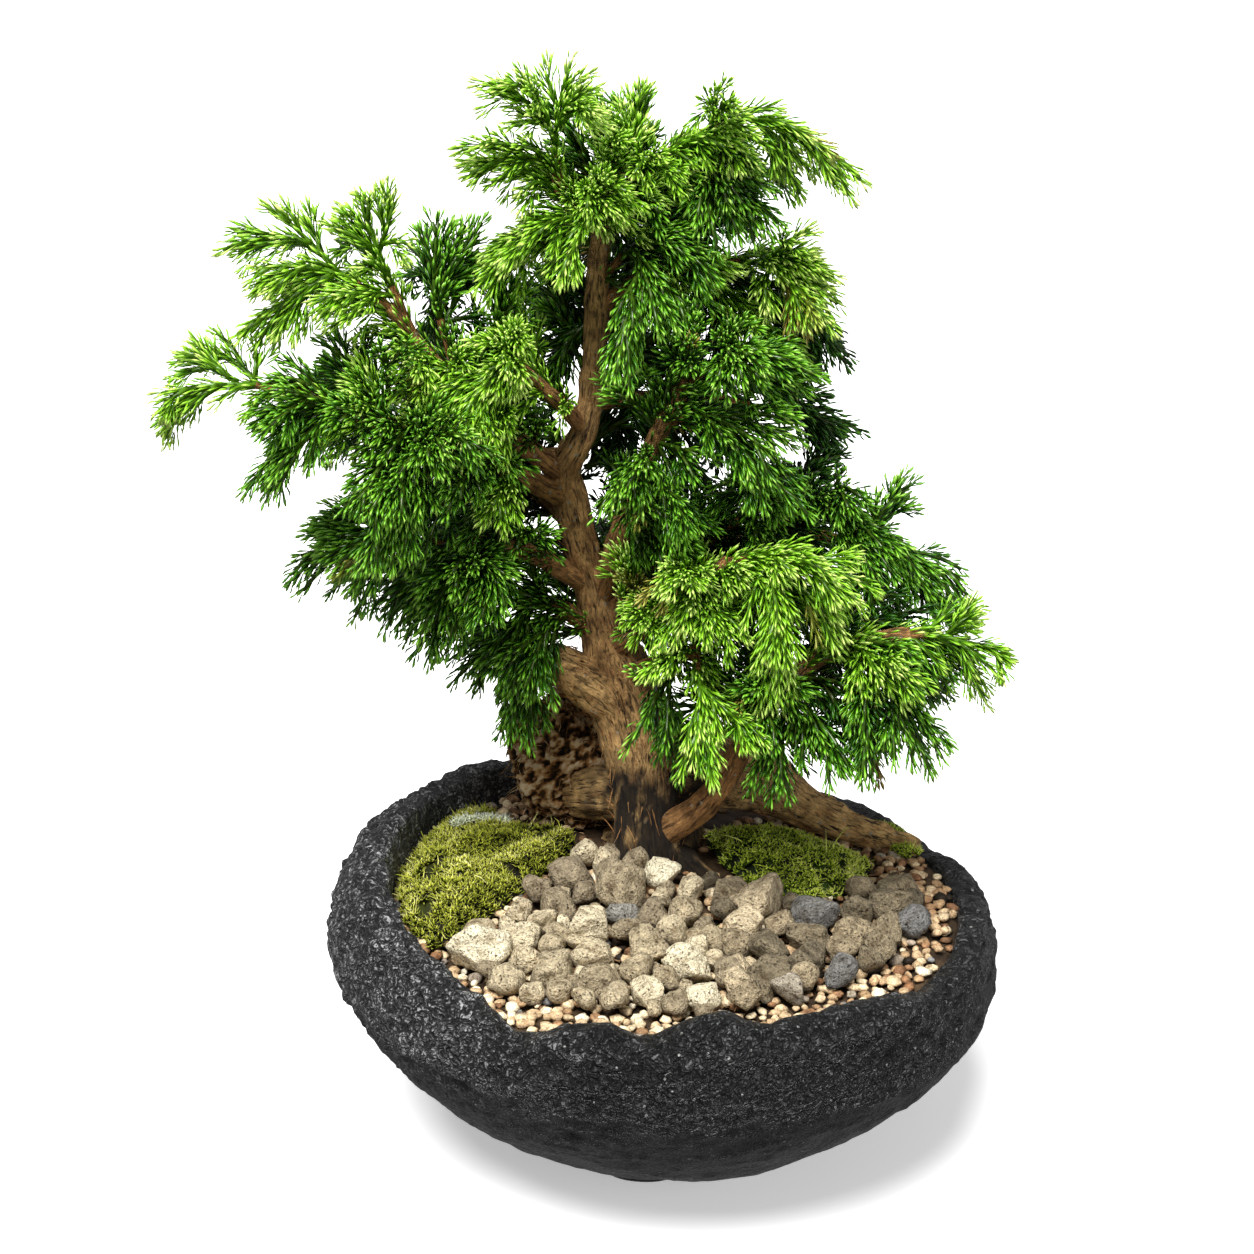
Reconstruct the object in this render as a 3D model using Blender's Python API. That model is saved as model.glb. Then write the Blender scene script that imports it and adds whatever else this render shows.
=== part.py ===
"""A small conifer bonsai that grows in a pinched, dark stoneware bowl.

Lengths in this file are millimetres and angles are degrees; add_object turns them into metres.
The model is made round the bowl's upright axis with the table at z = 0 and its front at -Y, and
is hung on an empty at the end so that the middle of its outline stands on the origin.
"""
from dataclasses import dataclass

import bmesh
import bpy
import numpy as np

MM = 0.001
SEAT = 0.35             # gap between pieces that touch
SLIVER = 0.02           # edges that joining leaves shorter than this are closed up

# Bowl: the rim wanders, so its height and radius are given at some angles round the axis
POT_SIDES = 36
BELLY_RADIUS = 111.0
BELLY_HEIGHT = 59.0
BELLY_TILT = 7.0        # the belly stands higher on the left than on the right by twice this
BELLY_AT = 0.65         # where the belly lies between underside (0) and rim (1)
UNDERSIDE_RADIUS = 40.0
UNDERSIDE_HEIGHT = 4.0
WALL = 9.0
FLOOR = 14.0
DRAIN_RADIUS = 6.0
FOOT_RADIUS = 15.5
FOOT_OFFSET = 36.0
FOOT_TOP = 8.0
FOOT_SIDES = 12
FOOT_ANGLES = (-100, 20, 140)
RIM = (                 # angle, height, radius
    (-180, 94, 100), (-160, 94, 101), (-140, 88, 103), (-126, 83, 104), (-117, 76, 105),
    (-108, 82, 105), (-100, 84, 105), (-94, 80, 105), (-87, 86, 106), (-80, 89, 106),
    (-74, 84, 106), (-62, 83, 106), (-46, 81, 107), (-38, 77, 108), (-20, 78, 108),
    (0, 77, 107), (12, 77, 106), (25, 75, 104), (50, 78, 102), (90, 83, 102),
    (115, 86, 103), (130, 91, 104), (145, 91, 102), (163, 95, 99),
)

# Drain mesh and soil
MESH_WIDTH = 24.0
MESH_THICK = 1.2
MESH_HOLE = 7.0
MESH_PITCH = 9.0
SOIL_TOP = 66.0
GROUND_RISE = 10.0      # the ground rises this much from the rim to the trunk
GROUND_EDGE = 75.0
GROUND_SPREAD = 45.0
GROUND_PEAK = (-4.0, 25.0)
LAYER_GAP = 0.55        # gap between a patch and the faceted ground under it
WALL_GAP = 1.0          # gap between the filling's corners and the faceted wall
GRAVEL_RINGS = (        # share of the gravel's width, and how rough it is there
    (1.0, 0.5), (0.96, 1.0), (0.915, 1.0), (0.66, 0.0), (0.3, 0.0),
)
ROUGH_FROM = 58.0       # the gravel is smooth inside this radius
ROUGH_FULL = 84.0       # and fully rough outside this one

# Patches that lie on the gravel: corner points of their outlines
MOSS_LEFT = ((-88, 24), (-88, 0), (-84, -22), (-74, -36), (-63, -26), (-50, -8), (-38, 8),
             (-30, 22), (-31, 34), (-44, 36), (-56, 46), (-60, 62), (-72, 56))
MOSS_RIGHT = ((14, 30), (20, 12), (28, 0), (42, -7), (57, -3), (68, 8), (71, 22), (56, 34), (34, 42))
PALE_BED = ((-70, -44), (-56, -60), (-36, -72), (-12, -79), (14, -79), (20, -62), (17, -36),
            (11, -12), (0, 2), (-18, 14), (-32, 8), (-46, -12), (-60, -32))
GREY_BED = ((22, -77), (44, -68), (64, -52), (80, -26), (86, -2), (78, 6), (70, 0), (60, -10),
            (42, -14), (26, -8), (15, -2), (20, -30), (23, -58))
PALE_STONES = (         # x, y, radius
    (-60, -45, 8.5), (-48, -36, 6.5), (-13, -13, 9.0), (-23, -32, 7.0), (-1, -1, 6.0),
    (7, -24, 6.5), (12, -71, 5.5), (-36, -56, 6.5), (-6, -70, 5.5), (-20, -64, 6.0),
    (-30, -3, 6.5), (-35, -20, 6.0), (-22, -48, 6.5), (-6, -44, 7.0), (8, -55, 7.0),
)
GREY_STONES = (
    (31, -17, 8.0), (25, -30, 6.5), (33, -58, 6.5), (50, -21, 7.0), (46, -50, 6.5),
    (78, 0, 6.0), (75, -14, 7.0), (63, -18, 6.0), (60, -34, 7.5), (46, -36, 6.5),
    (34, -43, 7.0), (72, -30, 6.0), (21, -11, 5.5),
)
RELIEF = 1.1            # how far the gravel's surface goes up and down near the rim
STONE_FLAT = 0.78       # height of a stone as a share of its width
STONE_SUNK = 0.42       # how far its middle stands over its bed, as a share of its radius
BED_THICK = 1.8
MOSS_THICK = 2.0
TUFT = 1.6
PEAT_CENTRE = (-31.0, 57.0, 103.0)
PEAT_HALF = (21.0, 17.0, 22.0)

# Wood: sides and rings of each limb, then x, y, z and radius along it
PLUG = ((-2, 34, 42, 15), (-2, 34, 64, 19), (-2, 34, 79, 19), (-1, 34, 87, 15), (0, 36, 101, 11))
PLUG_WIDTH = 1.5        # the root plug is this much wider than it is deep
BARK = 0.07             # bark relief as a share of the radius
WOOD = {
    "stem": (9, 16, ((-4, 13, 78, 12), (-5, 17, 92, 11), (-6, 25, 106, 10.5), (-8, 32, 123, 12.5),
                     (-13, 36, 140, 12), (-20, 36, 160, 8), (-25, 34, 183, 5.6),
                     (-30, 31, 206, 6), (-32, 30, 219, 5), (-26, 28, 233, 4.2),
                     (-23, 27, 250, 3.9), (-22, 27, 267, 3.7), (-21, 27, 287, 3.5),
                     (-19, 28, 304, 2.8), (-14, 29, 314, 2.2))),
    "broken_stub": (6, 3, ((-31, 31, 209, 4.5), (-35, 31, 219, 4), (-37, 31, 225, 2.8))),
    "old_stub": (7, 4, ((-12, 34, 132, 9), (-26, 32, 144, 8.5), (-37, 28, 153, 6.5))),
    "left_root": (7, 5, ((-6, 24, 106, 9), (-20, 40, 99, 10), (-34, 55, 91, 8), (-42, 62, 82, 5))),
    "shoulder": (7, 8, ((-4, 30, 112, 10), (14, 46, 105, 13.5), (34, 51, 98, 11),
                        (47, 48, 91, 7.5), (61, 44, 85, 5.8), (76, 40, 81, 4.4), (88, 35, 80, 3.2))),
    "front_root": (5, 4, ((4, 14, 86, 6), (16, 5, 81, 4), (25, -2, 78, 2))),
    "low_branch": (6, 10, ((0, 15, 95, 5.5), (12, 8, 108, 4.8), (21, 2, 123, 4.2),
                           (27, -2, 138, 3.6), (34, -4, 152, 3.2), (50, -6, 168, 2.8),
                           (66, -8, 175, 2.3), (78, -8, 177, 1.9))),
    "crown": (5, 3, ((-20, 28, 298, 2.6), (-27, 23, 307, 2.2), (-34, 19, 318, 1.9))),
    "top_right": (5, 3, ((-15, 29, 309, 2.4), (-5, 26, 319, 2.1), (10, 22, 331, 1.8))),
    "upper_right": (5, 3, ((-21, 27, 275, 2.8), (-2, 30, 285, 2.4), (18, 33, 288, 1.9))),
    "right_limb": (6, 4, ((-21, 34, 174, 4.2), (-10, 22, 212, 3.4), (-2, 13, 237, 3.0),
                          (7, 8, 256, 2.3))),
    "right_back": (5, 3, ((-24, 27, 243, 3.0), (-1, 50, 237, 2.6), (22, 62, 232, 2.0))),
    "right_mid": (6, 4, ((-20, 35, 170, 4.2), (6, 40, 183, 3.4), (36, 46, 191, 2.7),
                         (56, 45, 190, 2.1))),
    "bright_limb": (5, 3, ((-16, 33, 155, 3.6), (6, 10, 182, 2.7), (20, -4, 200, 2.0))),
    "apron": (5, 3, ((-14, 34, 144, 3.6), (2, 12, 160, 2.7), (10, -6, 170, 2.0))),
    "upper_left": (6, 4, ((-31, 30, 216, 3.8), (-50, 22, 234, 3.2), (-70, 14, 257, 2.6),
                          (-86, 8, 280, 2.0))),
    "left_long": (6, 5, ((-30, 31, 208, 4.0), (-56, 14, 227, 3.3), (-83, 0, 242, 2.7),
                         (-108, -9, 255, 2.2), (-120, -12, 260, 1.8))),
    "left_back": (6, 3, ((-29, 32, 200, 3.8), (-56, 60, 213, 3.0), (-84, 78, 217, 2.1))),
    "left_low": (6, 3, ((-25, 34, 178, 3.8), (-47, 18, 196, 3.0), (-68, 6, 203, 2.1))),
    "left_pendant": (5, 3, ((-19, 36, 156, 3.6), (-33, 31, 170, 2.8), (-44, 29, 173, 2.0))),
    "front_limb": (5, 3, ((-26, 28, 234, 2.8), (-34, 15, 247, 2.4), (-43, 6, 259, 1.8))),
    "back_limb": (5, 3, ((-23, 27, 258, 3.0), (-17, 50, 268, 2.4), (-13, 60, 272, 1.9))),
    "back_low": (5, 3, ((-18, 37, 163, 3.6), (-10, 57, 176, 2.8), (-2, 68, 181, 2.1))),
}
GROUND_WOOD = ("stem", "left_root", "shoulder", "front_root", "low_branch")

# Foliage
NEEDLE = 5.8
LEAN = 38.0             # between a needle and its shoot
WHORL_STEP = 8.8
WHORL_BASE = 1.0
CORE_FOOT = 1.3
CORE_TIP = 0.9
TWIG_RADIUS = 1.5
GREEN_LENGTH = 33.0     # most of a stem that carries needles
BARE_FOOT = 2.0         # green stem below its first whorl
FORK_FOOT = 4.0         # bare length where a fork or a side shoot leaves its stem
TIP_BUD = 1.6           # core beyond the last whorl
TIP_REACH = 3.6         # how far the last needles reach past the core's tip
STEM_ROOM = 5.0         # room round a stem that needs no better place
FORK_ROOM = 1.0         # least room for a fork
NEEDLE_ROOT = 0.8       # radius kept free round the lower half of a needle
NEEDLE_POINT = 0.45     # and round its upper half
NEEDLE_GAP = 0.3        # least distance between needles of one spray
TRIES = 40
SIDE_LENGTH = (12.0, 16.0)
SIDE_ANGLE = (36.0, 60.0)
SIDE_ROOM = 5.0         # least room for a side shoot
SIDE_COUNT = 1          # side shoots tried on the first stem of each spray
CROWN_REACH = ((-151, -42, 138), (106, 100, 350))
SEED = 11
WOOD_OWNER = -1000
BRIGHT, FRESH, DEEP = (0.20, 0.46, 0.06), (0.09, 0.29, 0.035), (0.035, 0.15, 0.025)
SPRAYS = (              # name, limb, place along it, lift, colour, tips
    ("crown_top", "crown", 1.00, 0.1, BRIGHT, ((-28, 14, 358), (-52, 8, 352))),
    ("crown_left", "crown", 0.60, 0.3, BRIGHT, ((-60, 2, 328),)),
    ("crown_right", "stem", 1.00, 0.1, BRIGHT, ((-13, 22, 341), (-26, 40, 334))),
    ("crown_front", "stem", 0.94, 0.5, BRIGHT, ((-30, -6, 297), (-50, 4, 302))),
    ("crown_back", "stem", 0.97, 0.3, FRESH, ((-18, 62, 322), (6, 58, 310))),
    ("top_right", "top_right", 1.00, 0.7, BRIGHT, ((51, 6, 328), (38, 22, 318))),
    ("top_under", "top_right", 0.50, 0.1, FRESH, ((28, 38, 312), (20, 4, 318))),
    ("upper_right", "upper_right", 1.00, 0.3, BRIGHT, ((53, 18, 282), (42, 12, 302))),
    ("upper_right_low", "upper_right", 0.80, 0.2, DEEP, ((46, 44, 258), (28, 60, 276))),
    ("upper_right_front", "stem", 0.87, 0.4, FRESH, ((14, 0, 298), (-8, -10, 274))),
    ("right_limb_top", "right_limb", 1.00, 0.2, FRESH, ((40, -2, 268), (20, -12, 280))),
    ("right_limb_side", "right_limb", 0.80, 0.3, FRESH, ((32, -16, 240),)),
    ("right_limb_hang", "right_limb", 0.60, 0.4, FRESH, ((-8, -20, 236),)),
    ("right_back", "right_back", 1.00, 0.2, DEEP, ((60, 68, 218), (48, 88, 244))),
    ("right_back_up", "right_back", 0.60, 0.4, DEEP, ((10, 92, 256), (26, 94, 226))),
    ("right_mid", "right_mid", 1.00, 0.3, FRESH, ((92, 30, 182), (78, 46, 211))),
    ("right_mid_front", "right_mid", 0.70, 0.2, FRESH, ((58, 8, 222), (72, 8, 196))),
    ("right_mid_in", "right_mid", 0.40, 0.2, FRESH, ((32, 0, 222),)),
    ("right_mid_back", "right_mid", 0.75, 0.2, DEEP, ((62, 84, 190), (34, 88, 196))),
    ("bright", "bright_limb", 1.00, 0.3, BRIGHT, ((54, -28, 202), (34, -34, 182))),
    ("bright_left", "bright_limb", 0.70, 0.3, BRIGHT, ((-2, -24, 206),)),
    ("apron", "apron", 1.00, 0.2, BRIGHT, ((8, -38, 142), (30, -36, 152))),
    ("apron_left", "apron", 0.70, 0.3, FRESH, ((-14, -22, 140), (-12, -20, 170))),
    ("low_tip", "low_branch", 1.00, 0.2, FRESH, ((112, -10, 168), (98, -2, 186))),
    ("low_middle", "low_branch", 0.84, 0.2, FRESH, ((74, -32, 150), (88, 14, 156))),
    ("low_inner", "low_branch", 0.62, 0.2, FRESH, ((46, -28, 146),)),
    ("low_back", "low_branch", 0.72, 0.2, DEEP, ((56, 24, 160), (70, 18, 196))),
    ("upper_left", "upper_left", 1.00, 0.5, BRIGHT, ((-127, -6, 296), (-122, 10, 312))),
    ("upper_left_up", "upper_left", 0.84, 0.3, BRIGHT, ((-94, 4, 318), (-104, 28, 298))),
    ("upper_left_mid", "upper_left", 0.58, 0.2, FRESH, ((-70, 20, 307), (-72, 44, 288))),
    ("upper_left_in", "upper_left", 0.40, 0.2, FRESH, ((-44, 26, 284),)),
    ("left_tip", "left_long", 1.00, 0.2, BRIGHT, ((-157, -20, 260), (-144, -6, 280))),
    ("left_low", "left_long", 0.78, 0.3, FRESH, ((-122, -24, 236),)),
    ("left_up", "left_long", 0.62, 0.2, FRESH, ((-106, 10, 272), (-116, 30, 250))),
    ("left_front", "left_long", 0.44, 0.4, FRESH, ((-84, -32, 228), (-70, -24, 256))),
    ("back_left", "left_back", 1.00, 0.2, DEEP, ((-122, 90, 212), (-106, 74, 240))),
    ("back_left_up", "left_back", 0.60, 0.3, DEEP, ((-78, 90, 252), (-44, 96, 238))),
    ("back_left_low", "left_back", 0.74, 0.1, DEEP, ((-70, 92, 188), (-92, 58, 192))),
    ("lower_left", "left_low", 1.00, 0.2, FRESH, ((-104, -8, 202), (-110, 14, 214))),
    ("lower_left_down", "left_low", 0.64, 0.3, FRESH, ((-78, -4, 180), (-58, -16, 204))),
    ("pendant", "left_pendant", 1.00, 0.3, FRESH, ((-54, 26, 147), (-64, 46, 166))),
    ("pendant_front", "left_pendant", 0.60, 0.4, FRESH, ((-38, 6, 150),)),
    ("front", "front_limb", 1.00, 0.3, BRIGHT, ((-52, -16, 276), (-62, -12, 248))),
    ("back_top", "back_limb", 1.00, 0.3, DEEP, ((-2, 84, 296), (-42, 80, 292))),
    ("back_low", "back_low", 1.00, 0.2, DEEP, ((18, 96, 178), (-30, 92, 174))),
)


@dataclass
class Finish:
    """Colour, roughness and metallic value of a material."""
    colour: tuple
    roughness: float
    metallic: float = 0.0


STONEWARE = Finish((0.030, 0.031, 0.034), 0.72)
MESH_PLASTIC = Finish((0.02, 0.05, 0.03), 0.5)
EARTH = Finish((0.09, 0.055, 0.03), 0.95)
TAN_GRIT = Finish((0.42, 0.29, 0.17), 0.9)
CREAM_STONE = Finish((0.50, 0.45, 0.34), 0.9)
GREY_STONE = Finish((0.21, 0.19, 0.16), 0.9)
MOSS = Finish((0.10, 0.13, 0.02), 0.95)
PEAT = Finish((0.10, 0.05, 0.022), 0.95)
BARK_FINISH = Finish((0.19, 0.095, 0.05), 0.85)


def clear_scene():
    """Remove whatever the file holds when the script starts."""
    for item in list(bpy.data.objects):
        bpy.data.objects.remove(item, do_unlink=True)


def make_material(name, finish):
    """A Principled material with one finish."""
    material = bpy.data.materials.new(name)
    material.use_nodes = True
    shader = material.node_tree.nodes["Principled BSDF"]
    shader.inputs["Base Color"].default_value = (*finish.colour, 1.0)
    shader.inputs["Roughness"].default_value = finish.roughness
    shader.inputs["Metallic"].default_value = finish.metallic
    return material


def add_object(name, skin, finish, round_angle=None):
    """A mesh object from vertices in millimetres and faces, with outward faces and a material."""
    vertices, faces = skin
    mesh = bpy.data.meshes.new(name)
    mesh.from_pydata((np.asarray(vertices, float) * MM).tolist(), [], [list(map(int, f)) for f in faces])
    solid = bmesh.new()
    solid.from_mesh(mesh)
    bmesh.ops.recalc_face_normals(solid, faces=solid.faces)
    solid.to_mesh(mesh)
    solid.free()
    item = bpy.data.objects.new(name, mesh)
    bpy.context.scene.collection.objects.link(item)
    mesh.materials.append(make_material(name, finish))
    if round_angle is not None:
        mesh.shade_smooth()
        mesh.set_sharp_from_angle(angle=np.radians(round_angle))
    return item


def apply_modifiers(item):
    """Put the evaluated mesh in place of the object's own."""
    graph = bpy.context.evaluated_depsgraph_get()
    mesh = bpy.data.meshes.new_from_object(item.evaluated_get(graph), depsgraph=graph)
    item.modifiers.clear()
    old = item.data
    item.data = mesh
    mesh.name = item.name
    bpy.data.meshes.remove(old)


def boolean(item, others, operation, solver):
    """Join or cut an object with others through one Boolean on a collection, then drop them."""
    group = bpy.data.collections.new(item.name + "_" + operation.lower())
    bpy.context.scene.collection.children.link(group)
    for other in others:
        bpy.context.scene.collection.objects.unlink(other)
        group.objects.link(other)
    modifier = item.modifiers.new(operation.lower(), "BOOLEAN")
    modifier.operation = operation
    modifier.operand_type = "COLLECTION"
    modifier.collection = group
    modifier.solver = solver
    apply_modifiers(item)
    for other in others:
        bpy.data.objects.remove(other, do_unlink=True)
    bpy.data.collections.remove(group)
    keep_outer_shell(item)


def keep_outer_shell(item):
    """Fill a hollow that joining sealed, and drop a loose scrap: keep the largest shell alone.

    Slivers are closed up first, unless that would open the surface.
    """
    solid = bmesh.new()
    solid.from_mesh(item.data)
    bmesh.ops.triangulate(solid, faces=solid.faces)
    tidied = solid.copy()
    bmesh.ops.dissolve_degenerate(tidied, dist=SLIVER * MM, edges=tidied.edges)
    if all(edge.is_manifold for edge in tidied.edges):
        solid, tidied = tidied, solid
    tidied.free()
    shells, seen = [], set()
    for face in solid.faces:
        if face in seen:
            continue
        seen.add(face)
        shell, edge_of_search = [face], [face]
        while edge_of_search:
            for edge in edge_of_search.pop().edges:
                for beside in edge.link_faces:
                    if beside not in seen:
                        seen.add(beside)
                        shell.append(beside)
                        edge_of_search.append(beside)
        shells.append(shell)
    shells.sort(key=len)
    for shell in shells[:-1]:
        bmesh.ops.delete(solid, geom=shell, context="FACES")
    solid.to_mesh(item.data)
    solid.free()


def smooth_path(points, count):
    """Evenly spaced samples of the smooth curve through some points; a radius may be a column."""
    points = np.asarray(points, float)
    spans = len(points) - 1
    padded = np.vstack([2 * points[0] - points[1], points, 2 * points[-1] - points[-2]])
    place = np.linspace(0, spans, 30 * spans + 1)
    index = np.minimum(place.astype(int), spans - 1)
    f = (place - index)[:, None]
    a, b, c, d = (padded[index + k] for k in range(4))
    curve = 0.5 * (2 * b + (c - a) * f + (2 * a - 5 * b + 4 * c - d) * f ** 2
                   + (3 * b - a - 3 * c + d) * f ** 3)
    return spread(curve, count)


def spread(curve, count):
    """The same curve with its points at equal distances."""
    along = lengths_along(curve)
    wanted = np.linspace(0, along[-1], count)
    return np.stack([np.interp(wanted, along, column) for column in curve.T], 1)


def lengths_along(curve):
    """Distance from the start of a curve to each of its points."""
    steps = np.linalg.norm(np.diff(curve[:, :3], axis=0), axis=1)
    return np.concatenate([[0.0], np.cumsum(steps)])


def point_at(curve, distance):
    """Points of a curve at some distances from its start."""
    along = lengths_along(curve)
    return np.stack([np.interp(distance, along, column) for column in curve[:, :3].T], -1)


def unit(vector):
    """The vector or vectors at length one."""
    vector = np.asarray(vector, float)
    return vector / np.linalg.norm(vector, axis=-1, keepdims=True)


def carried_frames(centres):
    """Direction and two side directions at each centre, carried along with no twist."""
    forward = unit(np.gradient(centres, axis=0))
    start = np.array([1.0, 0.0, 0.0]) if abs(forward[0][0]) < 0.8 else np.array([0.0, 1.0, 0.0])
    side = np.zeros_like(forward)
    side[0] = unit(start - forward[0] * (start @ forward[0]))
    for k in range(1, len(centres)):
        moved = side[k - 1] - forward[k] * (side[k - 1] @ forward[k])
        side[k] = unit(moved)
    return forward, side, np.cross(forward, side)


def skin_over(rings, loop=False):
    """Skin over rings of equal length; its ends are capped, or meet where it is a loop."""
    count, sides = rings.shape[:2]
    faces = []
    for k in range(count if loop else count - 1):
        for j in range(sides):
            low, high, beside = k * sides, (k + 1) % count * sides, (j + 1) % sides
            faces.append((low + j, low + beside, high + beside, high + j))
    if not loop:
        faces.append(tuple(range(sides - 1, -1, -1)))
        faces.append(tuple(range((count - 1) * sides, count * sides)))
    return rings.reshape(-1, 3), faces


def tube(points, sides, count=None, grow=0.0, relief=0.0, width=1.0):
    """A round limb through points that carry a radius, with ridges of bark running along it."""
    path = smooth_path(points, count or len(points))
    centres, radius = path[:, :3], path[:, 3]
    _, side, across = carried_frames(centres)
    angle = np.radians(np.arange(sides) * 360 / sides)
    phase = np.arange(len(path))[:, None] * 0.9
    ridges = 1 + relief * (np.sin(3 * angle + phase) + 0.6 * np.sin(5 * angle - 1.7 * phase))
    reach = radius[:, None] * ridges + grow
    ring = (np.cos(angle)[None, :, None] * side[:, None] * width
            + np.sin(angle)[None, :, None] * across[:, None])
    return skin_over(centres[:, None] + reach[..., None] * ring)


def rim_value(theta, column):
    """Rim height (column 1) or radius (column 2) at angles, on a smooth closed curve."""
    table = np.array(RIM, float)
    angles = np.concatenate([table[:, 0] - 360, table[:, 0], table[:, 0] + 360])
    values = np.tile(table[:, column], 3)
    theta = (np.asarray(theta, float) + 180) % 360 - 180
    i = np.searchsorted(angles, theta, side="right") - 1
    f = (theta - angles[i]) / (angles[i + 1] - angles[i])
    a, b, c, d = (values[i + k] for k in (-1, 0, 1, 2))
    return 0.5 * (2 * b + (c - a) * f + (2 * a - 5 * b + 4 * c - d) * f ** 2
                  + (3 * b - a - 3 * c + d) * f ** 3)


def outside_wall(theta, t):
    """Radius and height of the bowl's outside, from its underside (t = 0) to the rim (t = 1)."""
    rim_high, rim_wide = rim_value(theta, 1), rim_value(theta, 2)
    belly_high = BELLY_HEIGHT - BELLY_TILT * np.cos(np.radians(theta))
    low = min(t / BELLY_AT, 1.0)
    high = max(0.0, (t - BELLY_AT) / (1 - BELLY_AT))
    out = 0.35 * np.sin(low * np.pi / 2) ** 0.95 + 0.65 * low ** 0.8
    up = 0.35 * low + 0.65 * (1 - np.cos(low * np.pi / 2))
    radius = UNDERSIDE_RADIUS + (BELLY_RADIUS - UNDERSIDE_RADIUS) * out
    height = UNDERSIDE_HEIGHT + (belly_high - UNDERSIDE_HEIGHT) * up
    radius = radius + (rim_wide - BELLY_RADIUS) * (1 - np.cos(high * np.pi / 2))
    height = height + (rim_high - belly_high) * np.sin(high * np.pi / 2)
    return radius, height


def inside_wall(theta, t):
    """The outside moved in by the wall, square to the surface."""
    step = 0.02
    radius, height = outside_wall(theta, t)
    radius_up, height_up = outside_wall(theta, t + step)
    run, rise = radius_up - radius, height_up - height
    size = np.hypot(run, rise)
    return radius - WALL * rise / size, height + WALL * run / size


def ring_at(theta, radius, height):
    """Points at some angles, radii and heights round the bowl's axis."""
    angle = np.radians(theta)
    radius, height = np.broadcast_to(radius, angle.shape), np.broadcast_to(height, angle.shape)
    return np.stack([radius * np.cos(angle), radius * np.sin(angle), height], 1)


def inside_rings(theta):
    """Radii and heights of the bowl's inside from the floor's edge up to the lip."""
    rings = [(inside_wall(theta, 0.12)[0], FLOOR)]
    rings += [inside_wall(theta, t) for t in (0.45, 0.84)]
    rings.append((rim_value(theta, 2) - WALL, rim_value(theta, 1) - 1.0))
    return rings


def inside_radius(theta, height, gap):
    """Radius just inside the bowl's faceted wall at a height for each angle."""
    rings = inside_rings(theta)
    heights = np.stack([np.broadcast_to(ring[1], len(theta)) for ring in rings])
    radii = np.stack([ring[0] for ring in rings])
    height = np.broadcast_to(height, np.shape(theta))
    return np.array([np.interp(height[k], heights[:, k], radii[:, k]) for k in range(len(theta))]) - gap


def make_bowl():
    """The bowl with its drain hole, standing on three low round feet."""
    theta = np.arange(POT_SIDES) * 360 / POT_SIDES
    rings = [(DRAIN_RADIUS, UNDERSIDE_HEIGHT)]
    rings += [outside_wall(theta, t) for t in (0.0, 0.2, 0.43, 0.65, 0.84, 1.0)]
    rings += inside_rings(theta)[::-1]
    rings += [(DRAIN_RADIUS, FLOOR)]
    bowl = add_object("bowl", skin_over(np.stack([ring_at(theta, *ring) for ring in rings]), True),
                      STONEWARE, 40)
    feet = []
    for number, angle in enumerate(FOOT_ANGLES):
        x, y = FOOT_OFFSET * np.cos(np.radians(angle)), FOOT_OFFSET * np.sin(np.radians(angle))
        points = ((x, y, 0, FOOT_RADIUS), (x, y, FOOT_TOP, FOOT_RADIUS + 1.5))
        feet.append(add_object(f"foot_{number}", tube(points, FOOT_SIDES), STONEWARE))
    boolean(bowl, feet, "UNION", "EXACT")
    return bowl


def box(low, high):
    """A box between two corners."""
    x0, y0, z0 = low
    x1, y1, z1 = high
    corners = ((x0, y0), (x1, y0), (x1, y1), (x0, y1))
    rings = np.array([[(x, y, z) for x, y in corners] for z in (z0, z1)], float)
    return skin_over(rings)


def make_drain_mesh():
    """The square of plastic mesh that keeps the soil off the drain hole."""
    half, base = MESH_WIDTH / 2, FLOOR + SEAT
    sheet = add_object("drain_mesh", box((-half, -half, base), (half, half, base + MESH_THICK)),
                       MESH_PLASTIC)
    holes = []
    for x in (-MESH_PITCH / 2, MESH_PITCH / 2):
        for y in (-MESH_PITCH / 2, MESH_PITCH / 2):
            low = (x - MESH_HOLE / 2, y - MESH_HOLE / 2, base - 1)
            high = (x + MESH_HOLE / 2, y + MESH_HOLE / 2, base + MESH_THICK + 1)
            holes.append(add_object("mesh_hole", box(low, high), MESH_PLASTIC))
    boolean(sheet, holes, "DIFFERENCE", "EXACT")
    return sheet


def ground(x, y):
    """Height of the gravel: flat by the rim and rising to a low mound round the trunk."""
    away = (x - GROUND_PEAK[0]) ** 2 + (y - GROUND_PEAK[1]) ** 2
    return GROUND_EDGE + GROUND_RISE * np.exp(-away / (2 * GROUND_SPREAD ** 2))


def over_ground(x, y):
    """Height just over the gravel, clear of its rough outer part."""
    rough = np.clip((np.hypot(x, y) - ROUGH_FROM) / (ROUGH_FULL - ROUGH_FROM), 0, 1)
    return ground(x, y) + LAYER_GAP + RELIEF * rough


def fan_skin(rings, low_centre, high_centre):
    """Skin over rings that closes on a point at each end."""
    count, sides = rings.shape[:2]
    vertices = np.vstack([rings.reshape(-1, 3), low_centre, high_centre])
    faces = [face for face in skin_over(rings)[1] if len(face) == 4]
    last = (count - 1) * sides
    for j in range(sides):
        beside = (j + 1) % sides
        faces.append((count * sides, beside, j))
        faces.append((last + j, last + beside, count * sides + 1))
    return vertices, faces


def make_soil():
    """The soil that fills the bowl up to the gravel."""
    theta = np.arange(0, POT_SIDES, 2) * 360 / POT_SIDES
    base = FLOOR + SEAT + MESH_THICK + SEAT
    rings = [ring_at(theta, inside_radius(theta, z, WALL_GAP), z) for z in (base, 34.0, 50.0, SOIL_TOP)]
    rings.append(ring_at(theta, 50.0, SOIL_TOP))
    return add_object("soil", fan_skin(np.stack(rings), (0, 0, base), (0, 0, SOIL_TOP)), EARTH)


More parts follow.
